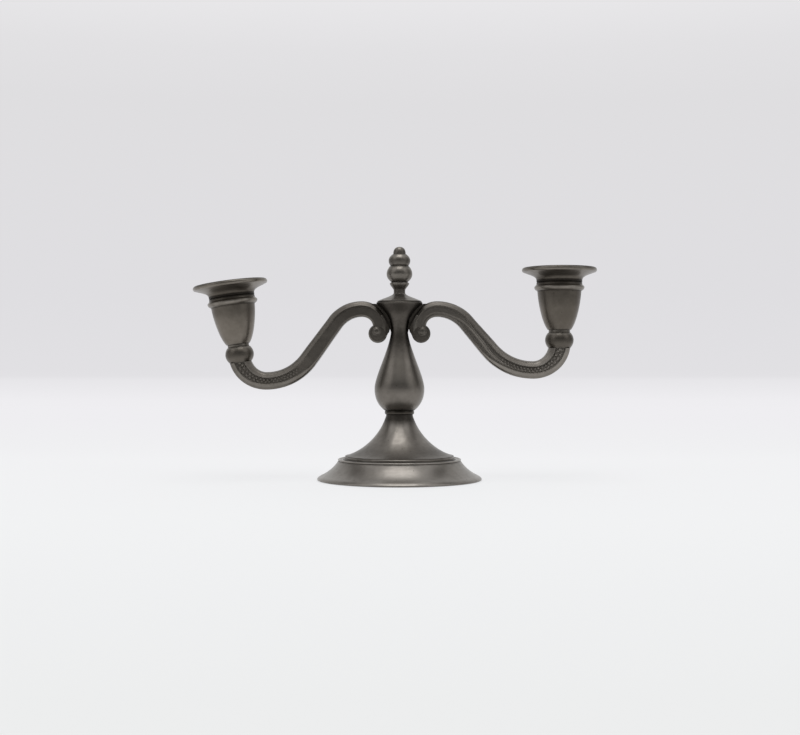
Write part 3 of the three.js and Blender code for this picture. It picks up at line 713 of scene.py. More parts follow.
def makeFinial():
    neckFoot = finial["roofHeight"]
    neckTop = neckFoot + finial["neckHeight"]
    budRadius, budHeight = finial["bud"]
    budTop = neckTop + budHeight
    grooveRadius, grooveHeight = finial["groove"]
    bigRadius, bigBelow, bigAbove = finial["bigBall"]
    midRadius, midBelow, midAbove = finial["midBall"]
    bigMiddle = budTop + grooveHeight + bigBelow
    midMiddle = bigMiddle + bigAbove + midBelow
    tipFoot = midMiddle + midAbove
    line = [(finial["insertBore"], 0), (finial["roofEdge"], 0, 0.12), (finial["roofEdge"], 0.3)]
    curveOn(line, (finial["neckRadius"], neckFoot), *finial["roof"], steps=26)
    line += [(finial["neckRadius"], neckTop)]
    curveOn(line, (budRadius, budTop - 0.6), *finial["budSide"], steps=16)
    line += [(budRadius - 0.1, budTop - 0.1, 0.25), (grooveRadius - 0.45, budTop + 0.3, 0.1)]
    ballOn(line, bigMiddle, bigRadius, bigBelow, bigAbove, grooveRadius, finial["midGroove"])
    ballOn(line, midMiddle, midRadius, midBelow, midAbove, finial["midGroove"], finial["tipSeat"] + 0.3)
    line += [(finial["tipSeat"], tipFoot)]
    curveOn(line, (0, tipFoot + finial["tipHeight"]), *finial["tip"], steps=22)
    line += [(0, finial["rodLength"]), (finial["rodBore"], finial["rodLength"])]
    line += [(finial["rodBore"], finial["insertLength"]), (finial["insertBore"], finial["insertLength"])]
    # dark grooves, painted shade and reflection round the neck, across the middle ball and under the big
    # ball, and painted highlights near the tops of both balls
    seams = [(budTop + 0.4, 1.8, 0.75), (bigMiddle + bigAbove, 1.8, 0.7), (tipFoot, 1.2, 0.6)]
    seams += [(neckFoot + 1.5, 5.5, 0.8), (midMiddle - 0.6, 3, 0.75), (budTop - 1.5, 3, 0.65)]
    seams += [(tipFoot + 1.4, 2.6, 0.6), (midMiddle + 2.4, 1.3, -0.6), (bigMiddle + 2.9, 1.3, -0.5)]
    turnedPiece("finial", "stem_pewter", line, pewter("finialPewter", **finial["look"]),
                raised(lowOf("finial")), body="finial", turns=128, step=0.4,
                seams=seams + [(bigMiddle - 2.5, 2, 0.3)])


makeWaist()
hubLine = makeStem()
makeFinial()
print("stem turned")


# Arms: one casting used twice, turned about the column and bent a little further on the left

scroll = {
    "fromAxis": 11.7, "belowRim": 14.9, "radius": 10.8, "eyeRadius": 5.6, "eyeDepth": 8.6, "eyeRound": 1.8,
    "eyeOut": 1.3, "eyeDrop": 4, "bossRadius": 3.4, "bossHeight": 1.2, "bossOut": 0.6, "bossUp": 1.3,
    # painted shade on the eye, more on the right arm, and a little less on the boss
    "oxideShade": {"left": 0.66, "right": 0.86}, "bossOxideShade": -0.14,
}
# the scroll's back, where it runs down past the column's neck
heel = {
    "thickness": 8.5, "soften": 1.1,
    "outline": ((9.9, 99.4), (8.4, 97), (7.2, 94.8), (6.3, 92.8), (5.9, 91), (6.5, 88.9), (7.3, 87.1),
                (8.3, 85.6), (9.6, 84.2), (11.1, 83.3), (13, 83), (13.5, 88), (13, 94), (12.4, 98)),
}
web = {"thickness": 3.0, "top": 1.2, "bottom": 16, "archAt": 5.7, "archRise": 1.2, "archHalf": 0.6}
# the arch's back carried on to the hub's rim
shoulder = {
    "thickness": 4.4,
    "outline": ((4, 95), (13.5, 95), (17.5, 99), (17.6, 105.85), (15.6, 105.65), (4, 105.3)),
}
bends = {
    "right": {"arch": 23.2, "slope": 49.5, "diagonal": 21.9, "bowl": 33.6, "tip": 16, "lean": 0},
    "left": {"arch": 19.8, "slope": 54, "diagonal": 27.5, "bowl": 30.8, "tip": 16.2, "lean": 7.8},
}
# height, depth, top bevel, low bevel and how far the side panel is sunk, at the ends of the five runs
armSections = (
    (8.2, 8.6, 2.2, 0.8, 0.1),
    (9.3, 9.0, 2.7, 0.8, 0.2),
    (9.7, 9.2, 2.9, 1.6, 0.36),
    (10.6, 9.8, 3.2, 2.8, 0.5),
    (10.5, 10.4, 3.2, 3.1, 0.55),
    (12.4, 12.0, 3.3, 2.8, 0.4),
)
armLook = {
    "panelEdge": 0.6, "fineStep": 0.21, "coarseStep": 0.5, "seed": 21.0,
    "creaseDeep": 0.15, "creaseWide": 0.4, "ridgeRise": 0.95, "ridgeHalf": 0.2, "pitDeep": 0.12,
    "beadsFrom": 3.3, "beadsTo": 4.88,
    "beadSmall": 0.5, "beadLarge": 0.92, "beadGap": 2.1, "beadGapLarge": 2.7, "beadReach": 1.3,
    "beadRise": 0.66,
}
knop = {"radius": 8.5, "swell": 7.4, "below": 4.8, "above": 4.4, "collar": 6.4, "collarHeight": 1.5,
        "sink": 2.9, "bore": 2.2}
screwHole = {"radius": 2.2, "depth": 8.3}
# how far the shapes that are cut away reach past the arm
beyond = {"below": 12, "above": 14, "tipHalf": 18, "tipHigh": 30}


def armLine(bend, stemTop):
    # points on the centreline: x, z, heading, place on the runs, and distance along
    quarter, slope = math.pi / 2, math.radians(bend["slope"])
    runs = [
        (scroll["radius"], -quarter, armLook["coarseStep"]),
        (bend["arch"], -slope, armLook["coarseStep"]),
        (bend["diagonal"], 0, armLook["fineStep"] * 1.6),
        (bend["bowl"], slope, armLook["fineStep"]),
        (bend["tip"], quarter - math.radians(bend["lean"]), armLook["fineStep"]),
    ]
    x, z, heading, along = scroll["fromAxis"], stemTop - scroll["belowRim"], quarter, 0.0
    line = [(x, z, heading, 0.0, along)]
    for number, (size, turn, step) in enumerate(runs):
        length = size * abs(turn) if turn else size
        steps = math.ceil(length / step)
        for i in range(1, steps + 1):
            half = turn / steps / 2
            chord = 2 * size * math.sin(abs(half)) if turn else length / steps
            x += chord * math.cos(heading + half)
            z += chord * math.sin(heading + half)
            heading += 2 * half
            along += length / steps
            line.append((x, z, heading, number + i / steps, along))
    return line


def armTip(bend, stemTop):
    x, z = armLine(bend, stemTop)[-1][:2]
    lean = math.radians(bend["lean"])
    return x - knop["sink"] * math.sin(lean), z - knop["sink"] * math.cos(lean), lean


def sectionSizes(run):
    first = min(int(run), len(armSections) - 2)
    share = smooth(run - first)
    return [a + (b - a) * share for a, b in zip(armSections[first], armSections[first + 1])]


def panelWidth(run):
    height, depth, top, low, sink = sectionSizes(run)
    return (height - top - low) / 2 - armLook["panelEdge"]


def layBeads(line, seed):
    # two rows of cast beads in the bowl's channel, as (distance along, across, radius), loosening outwards
    dice = random.Random(seed)
    places = [p for p in line if armLook["beadsFrom"] <= p[3] <= armLook["beadsTo"]]
    start, end = places[0][4], places[-1][4]
    beads = []
    for row in (-1, 1):
        along = start + (0.4 if row > 0 else 1.3)
        while along < end - 1.2:
            share = (along - start) / (end - start)
            run = next(p[3] for p in places if p[4] >= along)
            wide = panelWidth(run)
            size = armLook["beadSmall"] + (armLook["beadLarge"] - armLook["beadSmall"]) * share
            loose = 0.1 + 0.5 * share
            across = row * wide * 0.43 + dice.uniform(-0.3, 0.3) * loose
            beads.append((along + dice.uniform(-0.5, 0.5) * loose, across, size * dice.uniform(0.86, 1.12)))
            gapHere = armLook["beadGap"] + (armLook["beadGapLarge"] - armLook["beadGap"]) * share
            along += gapHere * dice.uniform(1 - 0.12 * loose, 1 + 0.25 * loose) * 0.92
    beads.append((end - 0.4, 0.0, armLook["beadLarge"] * 1.1))
    return beads


def panelRelief(run, along, w, wide, sink, ridged, beads, spot):
    # height above the sunk panel, oxide with painted shade and rubbing with painted highlight at one point;
    # w goes from -1 at its low edge to 1 at its top
    across = w * wide
    lift, rubAndHighlight = 0.0, 0.0
    # oxide and painted shade over the whole panel, heavier over the arch and slope, and on the plain face
    # towards the bowl
    oxideShade = 0.12 + 0.42 * (1 - ramp(run, 1.3, 2.3)) + (0.0 if ridged else 0.16 * ramp(run, 1.6, 2.4))
    # painted shade: a shallow crease under the top bevel is sunk and painted dark
    nearTop = math.exp(-((wide - across) / armLook["creaseWide"]) ** 2)
    fold = armLook["creaseDeep"] * nearTop * ramp(run, 0.3, 1.0)
    fold *= 1 - (0.4 if ridged else 0.95) * ramp(run, 1.5, 2.4)
    lift -= fold
    oxideShade += fold
    if ridged:
        middle = 0.42 - 0.2 * ramp(run, 1.7, 2.6) - 0.75 * ramp(run, 2.6, 3.5)
        half = armLook["ridgeHalf"] + 0.9 * (1 - ramp(run, 1.35, 2.4))
        flat = ramp(half + 0.25 - abs(w - middle), 0.0, 0.42)
        keep = 1 - ramp(run, 3.2, 3.55)
        lift += sink * armLook["ridgeRise"] * flat * keep
        # oxide and painted shade in the channel beside the ridge
        channel = (1 - flat) * ramp(run, 1.6, 2.2)
        oxideShade += 0.3 * channel
        # painted highlight along the ridge
        rubAndHighlight += 0.3 * flat * keep * ramp(run, 1.9, 2.4)
        pitted = channel * ramp(middle - w, -0.1, 0.25) * keep
        pit = noise.noise(Vector(spot) * 1.15 + Vector((5.1, 0.3, 9.7)))
        lift -= armLook["pitDeep"] * pitted * max(0.0, pit - 0.05)
        oxideShade += armLook["pitDeep"] * pitted * max(0.0, pit)
    bowl = ramp(run, 3.15, 3.5)
    oxideShade += bowl * 0.2
    lift += bowl * 0.09 * noise.noise(Vector(spot) * 0.9)
    best = 0.0
    for beadAlong, beadAcross, size in beads:
        if abs(beadAlong - along) > armLook["beadReach"]:
            continue
        away = math.hypot(beadAlong - along, beadAcross - across) / size
        if away < 1:
            best = max(best, math.sqrt(1 - away * away) * size)
    if best:
        # painted highlight on the bead tops, with less darkening
        lift += best * armLook["beadRise"]
        oxideShade *= 1 - 0.7 * min(1.0, best / 0.5)
        rubAndHighlight += 0.3 * max(0.0, best - 0.3)
    return lift, min(1.0, oxideShade), min(1.0, rubAndHighlight)


# stretches of the half section by number: every fifth is straight, the others are rounded corners
stretch = {"edge": 11, "step": 15, "floor": 20, "stepEnd": 26, "lowEdge": 30}
straightCuts = {0: 3, 5: 3, 10: 5, 15: 1, 20: 28, 25: 1, 30: 4, 35: 4, 40: 4}


def halfSection(run, ridged):
    # half of the arm's outline as (across, out, part, share of the part)
    # a side without the ridge is smooth as far as the bowl
    height, depth, top, low, sink = sectionSizes(run)
    low = 1.0 + (low - 1.0) * ramp(run, 2.8, 3.5)
    if not ridged:
        sink *= ramp(run, 2.9, 3.45)
    h, d, step = height / 2, depth / 2, armLook["panelEdge"]
    control = [
        (h, 0.0),
        (h - 0.05, 0.36 * d, 1.0),
        (h - 0.32 * top, 0.78 * d, 1.3),
        (h - top, d, 0.3),
        (h - top - step, d - sink, 0.15),
        (-h + low + step, d - sink, 0.15),
        (-h + low, d, 0.3),
        (-h + 0.32 * low, d - 0.22 * low, 0.9),
        (-h, d - 0.64 * low, 0.9),
        (-h, 0.0),
    ]
    corners = softened(control, False, steps=4)
    half = []
    for i, (a, b) in enumerate(zip(corners, corners[1:])):
        pieces = straightCuts.get(i, 0) + 1
        for k in range(pieces):
            t = k / pieces
            half.append((a[0] + (b[0] - a[0]) * t, a[1] + (b[1] - a[1]) * t, i, t))
    half.append((*corners[-1], len(corners), 0.0))
    panelTop, panelLow = h - top - step, -h + low + step
    return half, (panelTop + panelLow) / 2, (panelTop - panelLow) / 2, sink, d


def armRing(point, faces):
    # one section of the arm; faces gives (ridged, beads) for its two sides
    x, z, heading, run, along = point
    ring = []
    for side, (ridged, beads) in zip((-1, 1), faces):
        half, middle, wide, sink, d = halfSection(run, ridged)
        points = []
        for across, out, part, t in half:
            # oxide and painted shade over the arch and slope, fading out by the bowl, heavier on the ridged
            # face
            oxideShade, rubAndHighlight = (0.42 if ridged else 0.2) * (1 - ramp(run, 2.2, 3.3)), 0.0
            if stretch["step"] <= part <= stretch["stepEnd"]:
                w = max(-1.0, min(1.0, (across - middle) / wide))
                fade = 1.0 if part == stretch["floor"] else 0.35
                spot = (x - across * math.sin(heading), side * out, z + across * math.cos(heading))
                lift, oxideShade, rubAndHighlight = panelRelief(run, along, w, wide, sink, ridged, beads, spot)
                out = min(out + lift * fade, d + 0.15)
            # painted highlights on the top bevel, lighter over the arch, faint along the diagonal and
            # strongest over the bowl and tip, and on the low bevel in the bowl
            elif stretch["edge"] <= part < stretch["step"]:
                rubAndHighlight = 0.4 - 0.35 * ramp(run, 1.4, 2.0) + 0.8 * ramp(run, 3.2, 3.7)
            elif stretch["stepEnd"] < part <= stretch["lowEdge"]:
                rubAndHighlight = 0.4 * ramp(run, 2.9, 3.3)
            wave = 0.045 * noise.noise(Vector((along * 0.22, across * 0.3, side * 7.0)))
            spot = ((x - (across + wave) * math.sin(heading)) * mm, side * (out + wave) * mm,
                    (z + (across + wave) * math.cos(heading)) * mm)
            points.append((spot, oxideShade, rubAndHighlight))
        ring.append(points)
    near, far = ring
    return near[:-1] + far[::-1][:-1]


def armMesh(name, bend, stemTop, ridgeSide):
    line = armLine(bend, stemTop)
    faces = [(side == ridgeSide, layBeads(line, 40 + side)) for side in (-1, 1)]
    rings = [armRing(point, faces) for point in line]
    count = len(rings[0])
    spots = [spot for ring in rings for spot in ring]
    quads = []
    for i in range(len(rings) - 1):
        for j in range(count):
            a, b = i * count + j, i * count + (j + 1) % count
            quads.append((a, b, b + count, a + count))
    quads.append(tuple(range(count))[::-1])
    quads.append(tuple(range((len(rings) - 1) * count, len(rings) * count)))
    return newMesh(name, [spot[0] for spot in spots], quads,
                   run=[point[4] * 0.3 for point in line for _ in range(count)],
                   hollow=[spot[1] for spot in spots], edge=[spot[2] for spot in spots])


def shadeWeb(mesh, x, z):
    # painted shade: what lies between the scroll's back and the hub is painted dark, where it lies in
    # shadow
    around = scroll["radius"] + armSections[0][0] / 2
    for vert, value in zip(mesh.vertices, mesh.attributes["hollow"].data):
        spot = vert.co / mm
        away = math.hypot(spot.x - x, spot.z - z)
        if spot.x < x and spot.z > z - 12:
            value.value = max(value.value, ramp(away, around - 0.9, around - 0.1) * ramp(x - spot.x, 2, 7))


def scrollEnd(height, oxideShade):
    # the scroll's eye and its boss, both lying across the arm
    deep, soft, radius = scroll["eyeDepth"] / 2, scroll["eyeRound"], scroll["eyeRadius"]
    out = scroll["fromAxis"] + scroll["eyeOut"]
    eyeLine = curveOn([(0, -deep - 0.25)], (radius - soft, -deep), (0.4, 0), (0.8, 0.4), 8)
    eyeLine += [(radius - 0.1, -deep + 0.1, soft), (radius, 0)]
    eyeLine += [(r, -z, *rest) for r, z, *rest in eyeLine[::-1]][1:]
    # painted shade: the whole eye and boss are darkened
    eye = turnedMesh("eye", eyeLine, turns=96, step=0.5, seams=[(0, 40, oxideShade)])
    peak = deep + scroll["bossHeight"]
    bossLine = curveOn([(0, -peak)], (scroll["bossRadius"], -deep + 0.1), (0.62, 0), (0.6, 1), 14)
    bossLine += [(r, -z) for r, z in bossLine[::-1]]
    boss = turnedMesh("boss", bossLine, turns=64, step=0.4, seams=[(0, 40, oxideShade + scroll["bossOxideShade"])])
    for mesh, x, z in ((eye, out, height), (boss, out + scroll["bossOut"], height + scroll["bossUp"])):
        mesh.transform(Matrix.Translation((x * mm, 0, z * mm)) @ Matrix.Rotation(math.pi / 2, 4, "X"))
    return eye, boss


def webPlate(rimHeight):
    # closes the gap between the scroll and the hub, down to a small arch
    top, foot = rimHeight - web["top"], rimHeight - web["bottom"] - 1
    middle, wide, rise = web["archAt"], web["archHalf"], web["archRise"] + 1
    sheet = [(0.5, foot), (middle - wide, foot)]
    for way, share in ((-1, 0.35), (-1, 0.7), (-1, 1.0), (1, 0.7), (1, 0.35)):
        sheet.append((middle + way * wide * (1 - share) ** 0.8, foot + rise * share))
    sheet += [(middle + wide, foot), (scroll["fromAxis"], foot), (scroll["fromAxis"], top), (0.5, top)]
    return prismMesh("web", sheet, web["thickness"] / 2)


def hubRoom(hub, stemTop, rimHeight):
    # what the stem and the finial above it take up
    stemBottom = lowOf("stem")
    shell = [(r, z + stemBottom) for r, z in shifted(hub, -seated)]
    foot, top, around = shell[0][1] - beyond["below"], stemTop + beyond["above"], stem["rimRadius"] + seated
    room = [(0, foot), (stem["neckRadius"] + seated, foot)] + shell
    room += [(around, rimHeight), (around, top), (0, top)]
    return turnedMesh("room", room, turns=96, step=3)


def tipCuts(bend, stemTop):
    # the flat under the knop, and the screw's hole in it
    tipX, tipZ, lean = armTip(bend, stemTop)
    half, high = beyond["tipHalf"], beyond["tipHigh"]
    above = prismMesh("aboveTip", [(-half, -seated), (half, -seated), (half, high), (-half, high)], half)
    hole = rodMesh("screwHole", screwHole["radius"], -screwHole["depth"], 2)
    for mesh in (above, hole):
        mesh.transform(Matrix.Translation((tipX * mm, 0, tipZ * mm)) @ Matrix.Rotation(lean, 4, "Y"))
    return above, hole


def makeArm(side, hub, material):
    bend, stemTop = bends[side], highOf("stem")
    rimHeight = stemTop - stem["rimHeight"]
    centre = stemTop - scroll["belowRim"]
    piece = makeObject(f"arm_{side}_cast", armMesh(f"arm_{side}", bend, stemTop, -1), material, Matrix())
    filler = prismMesh("shoulder", shoulder["outline"], shoulder["thickness"] / 2)
    back = prismMesh("heel", heel["outline"], heel["thickness"] / 2, heel["soften"])
    eye = scrollEnd(centre - scroll["eyeDrop"], scroll["oxideShade"][side])
    stud = rodMesh("studHole", armStud["hole"], 0, armStud["reach"])
    stud.transform(raised(stemTop - armStud["drop"]) @ Matrix.Rotation(math.pi / 2, 4, "Y"))
    shapeWith(piece, [*eye, webPlate(rimHeight), filler, back],
              [hubRoom(hub, stemTop, rimHeight), stud, *tipCuts(bend, stemTop)])
    shadeWeb(piece.data, scroll["fromAxis"] + scroll["radius"], centre)
    if side == "left":
        piece.matrix_world = Matrix.Rotation(math.pi, 4, "Z")
    seat(piece, "candelabra", "arm_pewter", f"arm_{side}")


armFinish = {"brushed": 0.0, "contrast": 0.8, "lineDepth": 0.001, "pitDepth": 0.005, "wearAndHighlight": 0.6,
             "grime": 0.85, "grimeReach": 1.0, "rough": 0.35}
# painted light: the arms are one casting, and the left one is given darker tones than the right, as the
# light falls on them
armTones = {"left": ((0.19, 0.173, 0.153), (0.125, 0.112, 0.097)),
            "right": ((0.25, 0.229, 0.205), (0.168, 0.152, 0.133))}
for side, (light, dark) in armTones.items():
    look = pewter(f"armPewter{side.title()}", seed=armLook["seed"] + len(side), light=light, dark=dark,
                  **armFinish)
    makeArm(side, hubLine, look)
    print("arm cast:", side)


# Knops, cups and pans

cup = {
    "foot": 6.95, "body": 13.1, "bodyHeight": 23.2, "wall": 1.6, "floor": 2.4, "bead": 14.95,
    "beadHeight": 4, "top": 13.7, "rimHeight": 1.2, "mouthFlare": 0.4, "bore": 2.2,
    "line": ((0.54, 0.18), (0.92, 0.65)),
}
nozzle = {
    "neckInset": 0.05, "neckHeight": 0.9, "pan": 22.3, "panHeight": 8.5, "rim": 2.9, "rimRound": 1.3,
    "spigot": 14, "wall": 1, "floor": 1, "mouthFlare": 0.6, "mouthRise": 1.4,
    "under": ((0, 0.5), (0.42, 0.64)), "over": ((0.1, 0.42), (0.5, 0.68)),
}
# painted light: the right cup is given darker tones than the left cup, and both knops darker still, as the
# light falls on them
cupTones = {
    "light": (0.225, 0.2, 0.17), "dark": (0.155, 0.135, 0.112), "right": 0.76, "left": 0.9, "knop": 0.72,
}
knopTop = knop["below"] + knop["above"] + knop["collarHeight"]
cupBottom = knopTop + gap
cupRim = cupBottom + cup["bodyHeight"] + cup["beadHeight"] + cup["rimHeight"]
nozzleSeat = cupRim + gap
cupShoulder = (cup["body"], cupBottom + cup["bodyHeight"])
cupLine = curveOn([(cup["foot"], cupBottom)], cupShoulder, *cup["line"], steps=30)
cupWall = shifted(cupLine, cup["wall"]) + [(cup["body"] - cup["wall"] + cup["mouthFlare"], cupRim)]
cupRoom = between(cupWall, cupBottom + cup["floor"], cupRim)


def makeKnop(side, place, material):
    below, above = knop["below"], knop["above"]
    shelf, top = below + above, cupBottom - seated
    reach = [math.degrees(math.asin(rise / knop["swell"])) for rise in (-below, above)]
    line = [(knop["bore"], 0)]
    arcOn(line, (0, below), (knop["radius"], knop["swell"]), reach, 26)
    line += [(knop["collar"] - 0.15, shelf + 0.1, 0.08), (knop["collar"], shelf + 0.35, 0.15)]
    line += [(knop["collar"], top, 0.35), (knop["bore"], top)]
    # painted shade round the knop's middle, a dark joint at its foot, and painted highlights either side of
    # the shelf
    turnedPiece(f"knop_{side}", "cup_pewter", line, material, place, turns=112, step=0.4,
                seams=[(0, 0.6, 0.6), (below - 0.4, 2.6, 0.55), (shelf - 0.9, 0.7, -0.7),
                       (shelf + 0.9, 0.7, -0.6)])


def makeCup(side, place, material):
    beadFoot = cupBottom + cup["bodyHeight"]
    beadTop = beadFoot + cup["beadHeight"]
    line = [(cup["bore"], cupBottom), (cup["foot"] - 0.1, cupBottom, 0.1)] + cupLine
    curveOn(line, (cup["bead"], beadFoot + 0.55 * cup["beadHeight"]), (0.5, 0.22), (1, 0.5), 14)
    curveOn(line, (cup["top"], beadTop), (0, 0.45), (0.9, 0.6), 14)
    line += [(cup["top"] - 0.1, cupRim, 0.3), (cupRoom[-1][0], cupRim, 0.2)] + cupRoom[-2::-1]
    line += [(cup["bore"], cupBottom + cup["floor"])]
    # painted shade below the bead and in the band above it, dark joints at the rim and the foot, and a
    # painted highlight along the bead
    seams = [(beadFoot - 3, 9, 0.34), (beadTop + 0.9, 1.3, 1), (cupRim, 0.6, 1), (cupBottom, 0.4, 0.5),
             (beadFoot + 0.5 * cup["beadHeight"], 2.3, -1)]
    turnedPiece(f"cup_{side}", "cup_pewter", line, material, place, turns=144, step=0.5, seams=seams)


def makeNozzle(side, place, material):
    pan, roll = nozzle["pan"], nozzle["rimRound"]
    foot = nozzleSeat - nozzle["spigot"]
    floorTop = foot + nozzle["floor"]
    spigot = shifted(between(cupRoom, foot, cupRim), gap)
    tube = between(shifted(spigot, nozzle["wall"]), floorTop, cupRim)
    neckRadius, neckTop = cup["top"] - nozzle["neckInset"], nozzleSeat + nozzle["neckHeight"]
    panTop = nozzleSeat + nozzle["panHeight"]
    rimFoot = panTop - nozzle["rim"]
    mouth = (radiusAt(tube, cupRim) + nozzle["mouthFlare"], neckTop + nozzle["mouthRise"])
    line = [(0, foot), (spigot[0][0] - 0.05, foot, 0.3)] + spigot
    line += [(spigot[-1][0], nozzleSeat, 0.1), (neckRadius, nozzleSeat, 0.15), (neckRadius, neckTop)]
    curveOn(line, (pan - 0.7, rimFoot + 0.25), *nozzle["under"], steps=36)
    arcOn(line, (pan - roll, (rimFoot + panTop) / 2), (roll, nozzle["rim"] / 2), (-50, 86), 18)
    line += [(pan - roll - 0.1, panTop)]
    curveOn(line, mouth, *nozzle["over"], steps=30)
    line += tube[::-1] + [(0, floorTop)]
    # darker bands: at the seat under the pan, as painted shade, at the spigot's floor and along the pan's
    # top
    turnedPiece(f"nozzle_{side}", "cup_pewter", line, material, place, body=f"nozzle_{side}", turns=192,
                step=0.5, seams=[(nozzleSeat, 2.4, 1.5), (floorTop, 1.0, 1), (panTop, 1.2, 1)])


def makeLight(side):
    tipX, tipZ, lean = armTip(bends[side], highOf("stem"))
    way = 1 if side == "right" else -1
    place = Matrix.Translation((way * tipX * mm, 0, tipZ * mm)) @ Matrix.Rotation(way * lean, 4, "Y")
    light, dark = [Vector(tone) * cupTones[side] for tone in (cupTones["light"], cupTones["dark"])]
    name, seed = f"Pewter{side.title()}", 51.0 + 6 * way
    material = pewter("cup" + name, seed=seed, light=light, dark=dark, grime=0.96, grimeReach=1.0)
    knopTones = {"light": light * cupTones["knop"], "dark": dark * cupTones["knop"]}
    makeKnop(side, place, pewter("knop" + name, seed=seed + 2, grime=0.7, grimeReach=0.8, pitDepth=0.008,
                                 contrast=0.8, **knopTones))
    makeCup(side, place, material)
    makeNozzle(side, place, material)


for side in ("left", "right"):
    makeLight(side)
print("cups and pans turned")


# Hidden pieces keep their own meshes and get a finish

def makeZinc():
    material, tree, shader = newMaterial("zincedSteel")
    coords = placeOn(tree)
    spangle = node(tree, "ShaderNodeTexVoronoi", {"Vector": coords, "Scale": 900.0})
    tone = redOf(tree, spangle.outputs["Color"])
    shade = span(tree, tone, 0.0, 1.0, 0.1, 0.9)
    # dirt and painted shade in the corners
    grime = placeGroup(tree, grimeGroup, {"Reach": 0.0025, "Amount": 0.8, "Seed": 3.0})
    colour = blendColours(tree, shade, (0.46, 0.47, 0.5, 1), (0.62, 0.63, 0.64, 1))
    plug(tree, shader, {
        "Base Color": blendColours(tree, grime["Mask"], colour, (0.1, 0.08, 0.06, 1)),
        "Roughness": span(tree, tone, 0.0, 1.0, 0.34, 0.48), "Metallic": 1.0,
        "Normal": bumped(tree, grainNoise(tree, coords, 1400.0), 0.03),
    })
    return material


def makeBrass():
    material, tree, shader = newMaterial("turnedBrass")
    coords = placeOn(tree)
    height = node(tree, "ShaderNodeSeparateXYZ", {"Vector": coords}).outputs["Z"]
    rings = ringNoise(tree, times(tree, height, 9000.0))
    clouds = grainNoise(tree, coords, 300.0)
    plug(tree, shader, {
        "Base Color": blendColours(tree, clouds, (0.5, 0.36, 0.16, 1), (0.78, 0.62, 0.33, 1)),
        "Roughness": span(tree, rings, 0.2, 0.8, 0.26, 0.4), "Metallic": 1.0,
        "Normal": bumped(tree, rings, 0.02),
    })
    return material


def makeBoard():
    material, tree, shader = newMaterial("fibreBoard")
    coords = placeOn(tree)
    flakes = grainNoise(tree, coords, 900.0, 5.0, 0.7)
    both = weighed(tree, (flakes, 0.6), (grainNoise(tree, coords, 60.0), 0.4))
    shade = span(tree, both, 0.3, 0.7)
    plug(tree, shader, {
        "Base Color": blendColours(tree, shade, (0.2, 0.13, 0.075, 1), (0.38, 0.27, 0.17, 1)),
        "Roughness": 0.9, "Normal": bumped(tree, flakes, 0.1),
    })
    return material


def makeFelt():
    material, tree, shader = newMaterial("woolFelt")
    coords = placeOn(tree)
    curls = {"Vector": coords, "Scale": 500.0, "Detail": 2.0}
    bent = node(tree, "ShaderNodeTexNoise", curls).outputs["Color"]
    pull = node(tree, "ShaderNodeVectorMath", {0: bent, 3: 0.004}, operation="SCALE").outputs[0]
    moved = node(tree, "ShaderNodeVectorMath", {0: coords, 1: pull}, operation="ADD").outputs[0]
    fibres = grainNoise(tree, moved, 2600.0, 4.0, 0.7)
    both = weighed(tree, (fibres, 0.6), (grainNoise(tree, coords, 240.0), 0.4))
    shade = span(tree, both, 0.3, 0.7)
    plug(tree, shader, {
        "Base Color": blendColours(tree, shade, (0.018, 0.034, 0.024, 1), (0.05, 0.083, 0.06, 1)),
        "Roughness": 1.0, "Sheen Weight": 0.4, "Sheen Roughness": 0.6, "Normal": bumped(tree, both, 0.25),
    })
    return material


felt = {"round": 0.45, "wave": 0.05, "turns": 220, "rings": 60}


def makeFeltPad():
    # pressed wool disc: rounded edge and a face that isn't quite flat
    low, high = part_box("base_felt")
    radius, thick = high.x / mm, (high.z - low.z) / mm
    line = [(0, 0), (radius, 0, felt["round"]), (radius, thick, felt["round"]), (0, thick)]
    mesh = turnedMesh("felt", line, turns=felt["turns"], step=radius / felt["rings"])
    for vert in mesh.vertices:
        x, y, z = vert.co / mm
        wave = felt["wave"] * max(0.0, 0.5 + noise.noise(Vector((x, y, 0.0)) * 0.35))
        vert.co.z += wave * mm * (1 if z < thick / 2 else -1)
    piece = makeObject("base_felt_pad", mesh, makeFelt(), Matrix.Translation((0, 0, low.z)))
    return seat(piece, "candelabra", "felt", "base_felt")


finishes = {
    makeZinc: ["tie_rod", "clamp_plate", "tie_washer", "tie_nut", "arm_stud_left", "arm_stud_right",
               "arm_nut_left", "arm_nut_right", "cup_screw_left", "cup_screw_right"],
    makeBrass: ["finial_insert"],
    makeBoard: ["base_board"],
}
for make, names in finishes.items():
    finish = make()
    for name in names:
        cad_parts[name].data.materials.clear()
        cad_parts[name].data.materials.append(finish)
makeFeltPad()
print("hidden pieces finished")


# Floor, light and camera

